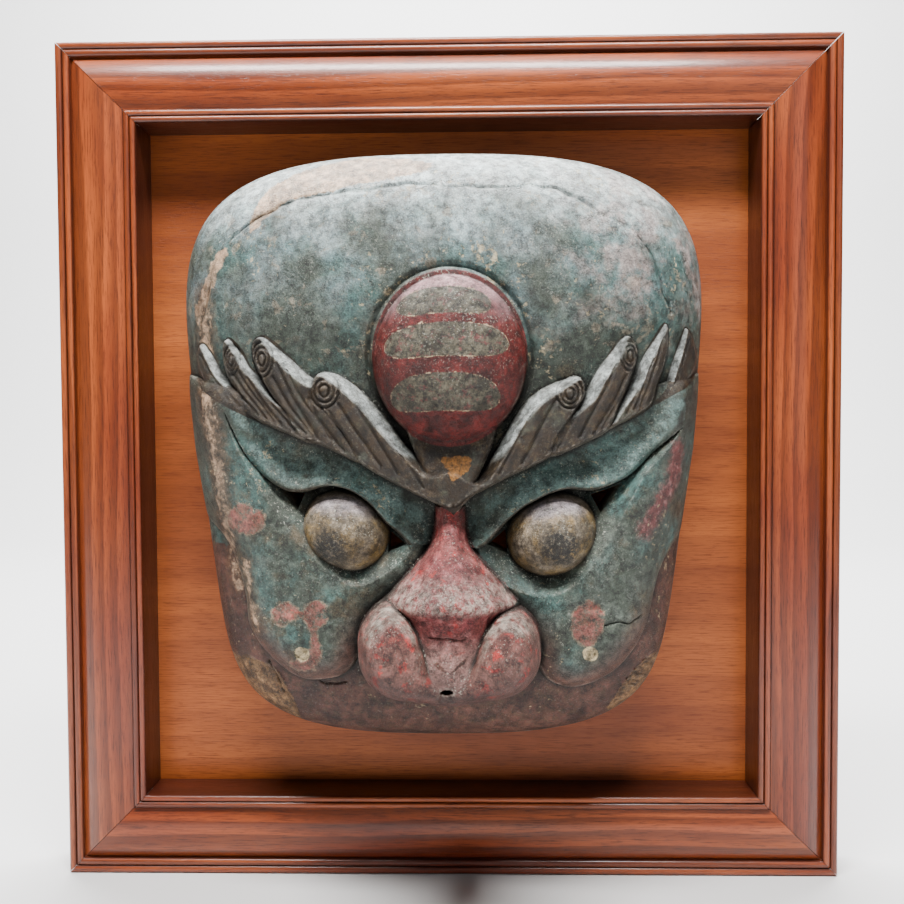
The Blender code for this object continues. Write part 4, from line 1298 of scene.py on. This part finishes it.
def dirt_and_painted_light(kit, colour):
    """Dirt in the craquelure, dirt and painted shade in the cuts and hollows, rubbing on what stands out, and
    dust with painted highlights and glints on what faces up.
    """
    crisp, up = kit.zone("crisp"), kit.zone("up")
    near_crown = kit.zone("crack").ramp(-9.0, 3.0)
    crackle = use_group(kit.place, kit.groups["crackle"], Size=0.011, Width=0.035)["Mask"]
    dull = kit.zone("brow").ramp(-0.04, 0.06) * -0.75 + 1.0
    # dust and a painted highlight: paler where a surface faces up, more so higher on the mask
    dust = up.ramp(0.25, 0.95) * kit.noise(0.006, 0.30, 0.62, 0.75)
    dust = dust * kit.height.ramp(-0.02, 0.20, 0.04, 0.34) * (1.0 - kit.inside("bald", -1.0, 0.6, 1.4) * 0.7)
    # dirt in the craquelure near the crown, and darkening in the cuts, the valleys and the broad hollows that
    # is partly dirt and partly painted shade
    colour = kit.coat(colour, ("dirt", crackle * near_crown * 0.4), ("dirt", crisp.ramp(-0.08, -0.9) * 0.7),
                      ("dirt", kit.zone("ridge").ramp(-0.6, -5.0) * 0.6),
                      ("dirt", kit.zone("deep").ramp(-1.5, -14.0) * 0.38),
                      ("ash", crisp.ramp(0.10, 0.7) * kit.noise(0.003, 0.40, 0.62) * 0.28),
                      ("dust", dust * dull))
    fine = use_group(kit.place, kit.groups["mottling"], Size=0.0013, Strength=1.5)
    soft = use_group(kit.place, kit.groups["mottling"], Size=0.0055, Strength=0.75)
    value = fine["Value"] * soft["Value"] * 0.86
    grey = add(kit.tree, "ShaderNodeCombineColor", value, value, value)
    colour = blend(kit.tree, 0.95, colour, grey, "MULTIPLY")
    # painted glints: tiny highlights of the light from above, on surfaces that face up
    glint = kit.noise(0.0017, 0.555, 0.66, 0.75, 5.0) * kit.noise(0.018, 0.34, 0.62)
    glint = glint * up.ramp(-0.35, 0.55, 0.15, 0.75) * dull
    return kit.coat(colour, ("glint", glint)), fine["Height"], crackle * (near_crown * -0.5)


def paint_material(groups, colours):
    """Layers of old paint over gesso and wood, worn through where it stands out, and dirty and darkened with
    painted shade in the cuts.
    """
    kit = Painter("old carved paint", groups, colours)
    cheek, lid, height = kit.zone("cheek"), kit.zone("lid"), kit.height
    low_cheek = cheek.ramp(22.0, 4.0) * (cheek.ramp(-1.0, 1.0) * height.ramp(-0.09, -0.14))
    lid_face = lid.ramp(2.0, 7.0) * lid.ramp(36.0, 16.0) * kit.noise(0.014, 0.34, 0.62, 0.7)
    lid_rim = lid.ramp(-0.5, 0.5) * lid.ramp(3.6, 2.2) * height.ramp(-0.012, -0.016)
    colour = kit.coat(ground_paint(kit), (lip_paint(kit), kit.inside("lip", -1.0, 0.6)),
                      ("plum", low_cheek * 0.85), ("lid", lid_face), ("brow", lid_rim * 0.8))
    colour = worn_patches(kit, colour)
    beside = kit.zone("boss").ramp(-38.0, -6.0) * kit.noise(0.022, 0.42, 0.60)
    fleck = kit.patches(0.0046, 0.10, 0.03, beside * 0.13 + kit.noise(0.05, 0.45, 0.7) * 0.13)
    bare = kit.coat("bare", ("bare_dark", kit.noise(0.006, 0.40, 0.56, 0.8)))
    colour = kit.coat(colour, ("gesso", fleck * 0.6), (nose_paint(kit), kit.inside("nose", -0.8, 0.4)),
                      (eye_paint(kit), kit.inside("ball", -0.3, 0.3, 0.1)),
                      (brow_paint(kit), kit.zone("brow").ramp(-0.04, 0.06)),
                      ("ochre", kit.inside("ochre", -0.5, 0.5, 0.8) * 0.85),
                      (boss_paint(kit), kit.inside("boss", -0.5, 0.3, 0.15)),
                      (bare, kit.inside("break", 0.0, 1.0, 0.5)),
                      ("side", kit.zone("side").ramp(-3.0, 3.0) * 0.6), ("raw", kit.zone("back")))
    colour, fine, cracks = dirt_and_painted_light(kit, colour)
    set_shader(kit.shader, fleck * -0.35 + fine + cracks, 0.9, 0.0011, Base_Color=colour,
               Roughness=fine.ramp(0.3, 0.7, 0.30, 0.60), Specular_IOR_Level=0.36)
    return kit.material


def wood_material(groups, name, colours, ring, fibre, gloss, coat, rings, grooves=()):
    """Stained and varnished wood with its grain along the stored grain place, and dark lines along the
    grooves, which are distances across the grain."""
    material, tree, shader = new_material(name)
    dark, middle, light = colours
    place = add(tree, "ShaderNodeAttribute", out="Vector", setup={"attribute_name": "grain_place"})
    grain = use_group(place, groups["grain"], Ring=ring, Fibre=fibre, Waviness=1.0, Stretch=0.04)
    fibres, pores = grain["Fibres"], grain["Pores"]
    colour = blend(tree, grain["Clouds"].ramp(0.30, 0.72), middle, light)
    masks = [grain["Rings"] * rings, fibres.ramp(0.46, 0.70, 0.0, 0.75), pores * 0.35]
    _, across, _ = place.apart()
    # a dark band at each given distance: along the bead grooves, and as painted shade where it falls on a
    # rail's inner face
    for groove in grooves:
        gap = across.maths("ABSOLUTE", across - groove)
        masks.append(gap.ramp(GROOVE_HALF, 0.0, 0.0, 0.85))
    for mask in masks:
        colour = blend(tree, mask, colour, dark)
    set_shader(shader, fibres * 0.6 + pores * -0.5, 0.35, 0.0004, Base_Color=colour,
               Roughness=fibres.ramp(0.3, 0.7, gloss - 0.06, gloss + 0.1), Coat_Weight=coat,
               Coat_Roughness=0.18, Specular_IOR_Level=0.3)
    return material


# Frame and board

def bead(start, width, foot):
    """Points over a half-round bead, as distances across and levels above the board."""
    turns = np.linspace(0.0, pi, BEAD_POINTS)
    return [(start + width * (1.0 - cos(turn)) / 2.0, foot + BEAD_RISE * sin(turn)) for turn in turns]


def moulding_profile():
    """Section of a rail: distance in from the frame's edge, and level above the board's front."""
    inner_foot = RECESS - BEAD_RISE
    outer_foot = inner_foot - OUTER_DROP
    field_foot = outer_foot - FIELD_DROP
    field_start = 2.0 * OUTER_BEAD + FILLET
    field_width = RAIL_WIDTH - 2.0 * INNER_BEAD - FILLET - field_start
    points = [(0.0, -BOARD_THICKNESS), (0.0, outer_foot * 0.3), (0.0, outer_foot * 0.7)]
    points += bead(0.0, OUTER_BEAD, outer_foot) + bead(OUTER_BEAD, OUTER_BEAD, outer_foot)[1:]
    for share in np.linspace(0.0, 1.0, FIELD_POINTS):
        straight = field_foot + (inner_foot - FILLET - field_foot) * share
        points.append((field_start + field_width * share, straight + FIELD_SWELL * sin(pi * share ** 0.85)))
    points += bead(RAIL_WIDTH - 2.0 * INNER_BEAD, INNER_BEAD, inner_foot)
    points += bead(RAIL_WIDTH - INNER_BEAD, INNER_BEAD, inner_foot)[1:]
    points += [(RAIL_WIDTH, inner_foot * 0.6), (RAIL_WIDTH, inner_foot * 0.3)]
    points += [(RAIL_WIDTH, SEAT_GAP), (RAIL_WIDTH - REBATE, SEAT_GAP)]
    return points + [(RAIL_WIDTH - REBATE, -BOARD_THICKNESS)]


def rail_tree():
    """Sweeps a drawn section along a rail, mitres both ends and notes where the grain runs."""
    tree, section, length, gap, unevenness, offset, rings, finish = new_group(
        "Mitred rail", {"Geometry": "Geometry"}, "GeometryNodeTree", Geometry="Geometry", Length=0.6,
        Mitre_gap=0.0003, Unevenness=0.0003, Grain_offset=0.0, Rings=120, Finish="Material")
    path = add(tree, "GeometryNodeCurvePrimitiveLine", Start=joined(tree, length * -0.5),
               End=joined(tree, length * 0.5))
    even = add(tree, "GeometryNodeResampleCurve", Curve=path, Count=rings)
    outline = add(tree, "GeometryNodeMeshToCurve", Mesh=section)
    sweep = add(tree, "GeometryNodeCurveToMesh", Curve=even, Profile_Curve=outline, Fill_Caps=True)
    # grain runs along the rail
    x, y, z = add(tree, "GeometryNodeInputPosition").apart()
    grain = joined(tree, x + offset, z, y + offset)
    stored = add(tree, "GeometryNodeStoreNamedAttribute", setup={"data_type": "FLOAT_VECTOR"},
                 Geometry=sweep, Name="grain_place", Value=grain)
    # mitres: the further in from the frame's edge, the shorter the rail
    ratio = (length - (z + gap) * 2.0) / length
    lift = (grain.noise(9.0) - 0.5) * unevenness * y.ramp(*WAVY_FRONT)
    mitred = add(tree, "GeometryNodeSetPosition", Geometry=stored,
                 Position=joined(tree, x * ratio, y + lift, z))
    real = add(tree, "GeometryNodeRealizeInstances", mitred)
    return finish_group(tree, Geometry=add(tree, "GeometryNodeSetMaterial", Geometry=real, Material=finish))


def make_rail(name, length, reach, turn, offset, tree, finish, unevenness):
    """One rail of the frame, swept as the bottom rail and turned into its place."""
    profile = moulding_profile()
    count = len(profile)
    rail = new_mesh_object(name, [(level, -across, 0.0) for across, level in profile], (),
                           [(place, (place + 1) % count) for place in range(count)])
    sweep = rail.modifiers.new("sweep", "NODES")
    sweep.node_group = tree
    values = {"Length": length, "Mitre gap": SEAT_GAP / sqrt(2.0), "Unevenness": unevenness,
              "Grain offset": offset, "Rings": RAIL_RINGS, "Finish": finish}
    for item in tree.interface.items_tree:
        if item.name in values:
            sweep[item.identifier] = values[item.name]
    mesh = settle(rail).data
    mesh.transform(Matrix.Rotation(turn, 4, "Y") @ Matrix.Translation((0.0, BOARD_FRONT, -reach)))
    bm = bmesh.new()
    bm.from_mesh(mesh)
    bmesh.ops.remove_doubles(bm, verts=bm.verts, dist=DOUBLES)
    bmesh.ops.recalc_face_normals(bm, faces=bm.faces)
    bm.to_mesh(mesh)
    bm.free()
    mesh.shade_smooth()
    mesh.set_sharp_from_angle(angle=radians(RAIL_SHARP))
    return rail


def make_board(finish):
    """The board: a thin panel with eased edges."""
    bm = bmesh.new()
    bmesh.ops.create_cube(bm, size=1.0)
    bmesh.ops.scale(bm, vec=BOARD_HIGH - BOARD_LOW, verts=bm.verts)
    bmesh.ops.translate(bm, vec=(BOARD_LOW + BOARD_HIGH) / 2.0, verts=bm.verts)
    bmesh.ops.bevel(bm, geom=bm.edges[:], offset=BOARD_EASE, segments=2, affect="EDGES")
    board = object_from("board_panel", bm)
    places = points_of(board.data)
    spots = np.stack((places[:, 0] + BOARD_GRAIN, places[:, 2], places[:, 1]), 1)
    attribute = board.data.attributes.new("grain_place", "FLOAT_VECTOR", "POINT")
    attribute.data.foreach_set("vector", spots.astype(np.float32).ravel())
    board.data.materials.append(finish)
    return board


# Stage

def make_camera():
    """The photograph's own viewpoint."""
    data = bpy.data.cameras.new("camera")
    data.sensor_width = 36.0
    data.lens = CAMERA_LENS
    camera = bpy.data.objects.new("camera", data)
    columns = [Vector(CAMERA_RIGHT), -Vector(CAMERA_DOWN), -Vector(CAMERA_AHEAD)]
    turned = Matrix(columns).transposed().to_4x4()
    camera.matrix_world = Matrix.Translation(CAMERA_PLACE) @ turned
    bpy.context.scene.collection.objects.link(camera)
    bpy.context.scene.camera = camera


def make_light(name, power, place, aim, size, colour):
    """A square soft light."""
    data = bpy.data.lights.new(name, "AREA")
    data.shape = "RECTANGLE"
    data.size, data.size_y = size
    data.energy = power
    data.color = colour
    light = bpy.data.objects.new(name, data)
    light.location = place
    light.rotation_euler = (Vector(aim) - Vector(place)).to_track_quat("-Z", "Y").to_euler()
    bpy.context.scene.collection.objects.link(light)


def make_stage(settings):
    """A pale floor that curves up into a backdrop, far behind the frame, and the lights."""
    low = -FRAME_HEIGHT / 2.0 - FLOOR_GAP
    section = [(FLOOR_FRONT, low)]
    for turn in np.linspace(0.0, pi / 2.0, 16):
        section.append((FLOOR_BACK + FLOOR_BEND * (sin(turn) - 1.0), low + FLOOR_BEND * (1.0 - cos(turn))))
    section.append((FLOOR_BACK, FLOOR_TOP))
    bm = bmesh.new()
    left, right = [[bm.verts.new((x, y, z)) for y, z in section] for x in (-FLOOR_HALF, FLOOR_HALF)]
    for place in range(len(section) - 1):
        bm.faces.new((left[place], right[place], right[place + 1], left[place + 1]))
    floor = object_from("floor", bm)
    floor.data.shade_smooth()
    material, tree, shader = new_material("pale floor")
    shader.inputs["Base Color"].default_value = FLOOR_COLOUR
    shader.inputs["Roughness"].default_value = 0.9
    floor.data.materials.append(material)
    world = bpy.data.worlds.new("studio")
    bpy.context.scene.world = world
    world.use_nodes = True
    sky = world.node_tree.nodes["Background"]
    sky.inputs["Color"].default_value = (1.0, 1.0, 1.0, 1.0)
    sky.inputs["Strength"].default_value = settings.fill
    for name, *light in LIGHTS:
        make_light(name, getattr(settings, name), *light)


# Operators

def colour_setting(name, note, code):
    """A colour that the panel shows."""
    return bpy.props.FloatVectorProperty(name=name, description=note, subtype="COLOR", size=3, min=0.0,
                                         max=1.0, default=tint(code))


def power_setting(name, note, power):
    """A light's power that the panel shows."""
    return bpy.props.FloatProperty(name=name, description=note, default=power, min=0.0, unit="POWER")


class MaskSettings(bpy.types.PropertyGroup):
    """Fineness and colours of the carved mask."""
    steps: bpy.props.IntProperty(name="Grid steps", description="Steps across the front before thinning",
                                 default=FINE_STEPS, min=120, max=700)
    triangles: bpy.props.IntProperty(name="Triangles", description="Faces left after thinning",
                                     default=MASK_TRIANGLES, min=20000, max=195000)
    green: colour_setting("Green", "Ground paint", "434b42")
    teal: colour_setting("Teal", "Ground paint where it is fresher", "3c5854")
    oxblood: colour_setting("Red", "Paint of the boss", "5a1a17")


class FrameSettings(bpy.types.PropertyGroup):
    """Varnish of the rails and stain of the board."""
    varnish: colour_setting("Varnish", "Body colour of the rails", "78311a")
    stain: colour_setting("Stain", "Body colour of the board", "84401a")
    unevenness: bpy.props.FloatProperty(name="Unevenness", description="Hand-planed waviness of the moulding",
                                        default=0.0006, min=0.0, max=0.002, unit="LENGTH")


class StageSettings(bpy.types.PropertyGroup):
    """Light of the studio."""
    overhead: power_setting("Overhead light", "Power of the soft light above", 96.0)
    front: power_setting("Front light", "Power of the light beside the camera", 4.0)
    backdrop: power_setting("Backdrop light", "Power of the light behind the frame", 620.0)
    fill: bpy.props.FloatProperty(name="Fill", description="Strength of the light from all round",
                                  default=0.09, min=0.0)


GROUPS = {}


def shared_groups():
    """The shader groups that the materials share, made once."""
    if not GROUPS:
        GROUPS.update(patches=patches_group(), grain=grain_group(), mottling=mottling_group(),
                      crackle=crackle_group())
    return GROUPS


class MASK_OT_carving(bpy.types.Operator):
    """Carve and paint the mask"""
    bl_idname = "mask.carving"
    bl_label = "Carve the mask"

    def execute(self, context):
        settings = context.scene.mask_settings
        colours = {name: tint(code) for name, code in PAINTS.items()}
        colours.update({name: tuple(getattr(settings, name)) for name in ("green", "teal", "oxblood")})
        size = ((settings.steps, settings.triangles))
        mask = make_mask(*size)
        mask.data.materials.append(paint_material(shared_groups(), colours))
        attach(mask, "root")
        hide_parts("mask")
        return {"FINISHED"}


class MASK_OT_frame(bpy.types.Operator):
    """Sweep the four rails"""
    bl_idname = "mask.frame"
    bl_label = "Make the frame"

    def execute(self, context):
        settings = context.scene.frame_settings
        # dark lines along the grooves between the beads, and at RAIL_WIDTH painted shade over the rail's inner
        # face
        grooves = (OUTER_BEAD, 2.0 * OUTER_BEAD, RAIL_WIDTH - 2.0 * INNER_BEAD, RAIL_WIDTH - INNER_BEAD,
                   RAIL_WIDTH)
        colours = tint("2c0f08"), tuple(settings.varnish), tint("a65328")
        finish = wood_material(shared_groups(), "red brown varnish", colours, ring=0.013, fibre=0.0011,
                               gloss=0.34, coat=0.40, rings=0.52, grooves=grooves)
        tree = rail_tree()
        for name, length, reach, turn, offset in RAILS:
            rail = make_rail(name + "_moulding", length, reach, turn, offset, tree, finish,
                             settings.unevenness)
            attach(rail, "root")
            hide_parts(name)
        return {"FINISHED"}


class MASK_OT_board(bpy.types.Operator):
    """Make the board behind the mask"""
    bl_idname = "mask.board"
    bl_label = "Make the board"

    def execute(self, context):
        settings = context.scene.frame_settings
        colours = tint("56220e"), tuple(settings.stain), tint("b25f2a")
        finish = wood_material(shared_groups(), "orange brown board", colours, ring=0.024, fibre=0.0010,
                               gloss=0.46, coat=0.1, rings=0.22)
        board = make_board(finish)
        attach(board, "root")
        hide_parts("back_board")
        return {"FINISHED"}


class MASK_OT_stage(bpy.types.Operator):
    """Set the floor, the lights and the camera"""
    bl_idname = "mask.stage"
    bl_label = "Set the stage"

    def execute(self, context):
        make_camera()
        make_stage(context.scene.stage_settings)
        return {"FINISHED"}


class MASK_PT_panel(bpy.types.Panel):
    """Pieces of the mask and its frame"""
    bl_label = "Mask in its frame"
    bl_idname = "MASK_PT_panel"
    bl_space_type = "VIEW_3D"
    bl_region_type = "UI"
    bl_category = "Mask"

    def draw(self, context):
        for name in SETTINGS:
            settings = getattr(context.scene, name)
            box = self.layout.box()
            for label in settings.__annotations__:
                box.prop(settings, label)
        for operator in (MASK_OT_stage, MASK_OT_board, MASK_OT_frame, MASK_OT_carving):
            self.layout.operator(operator.bl_idname)


SETTINGS = {"mask_settings": MaskSettings, "frame_settings": FrameSettings, "stage_settings": StageSettings}
CLASSES = (*SETTINGS.values(), MASK_OT_stage, MASK_OT_board, MASK_OT_frame, MASK_OT_carving, MASK_PT_panel)


def register():
    for item in CLASSES:
        bpy.utils.register_class(item)
    for name, item in SETTINGS.items():
        setattr(bpy.types.Scene, name, bpy.props.PointerProperty(type=item))


def unregister():
    for name in SETTINGS:
        delattr(bpy.types.Scene, name)
    for item in reversed(CLASSES):
        bpy.utils.unregister_class(item)


def main():
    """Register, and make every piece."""
    register()
    bpy.ops.mask.stage()
    bpy.ops.mask.board()
    bpy.ops.mask.frame()
    bpy.ops.mask.carving()


if __name__ == "__main__":
    main()
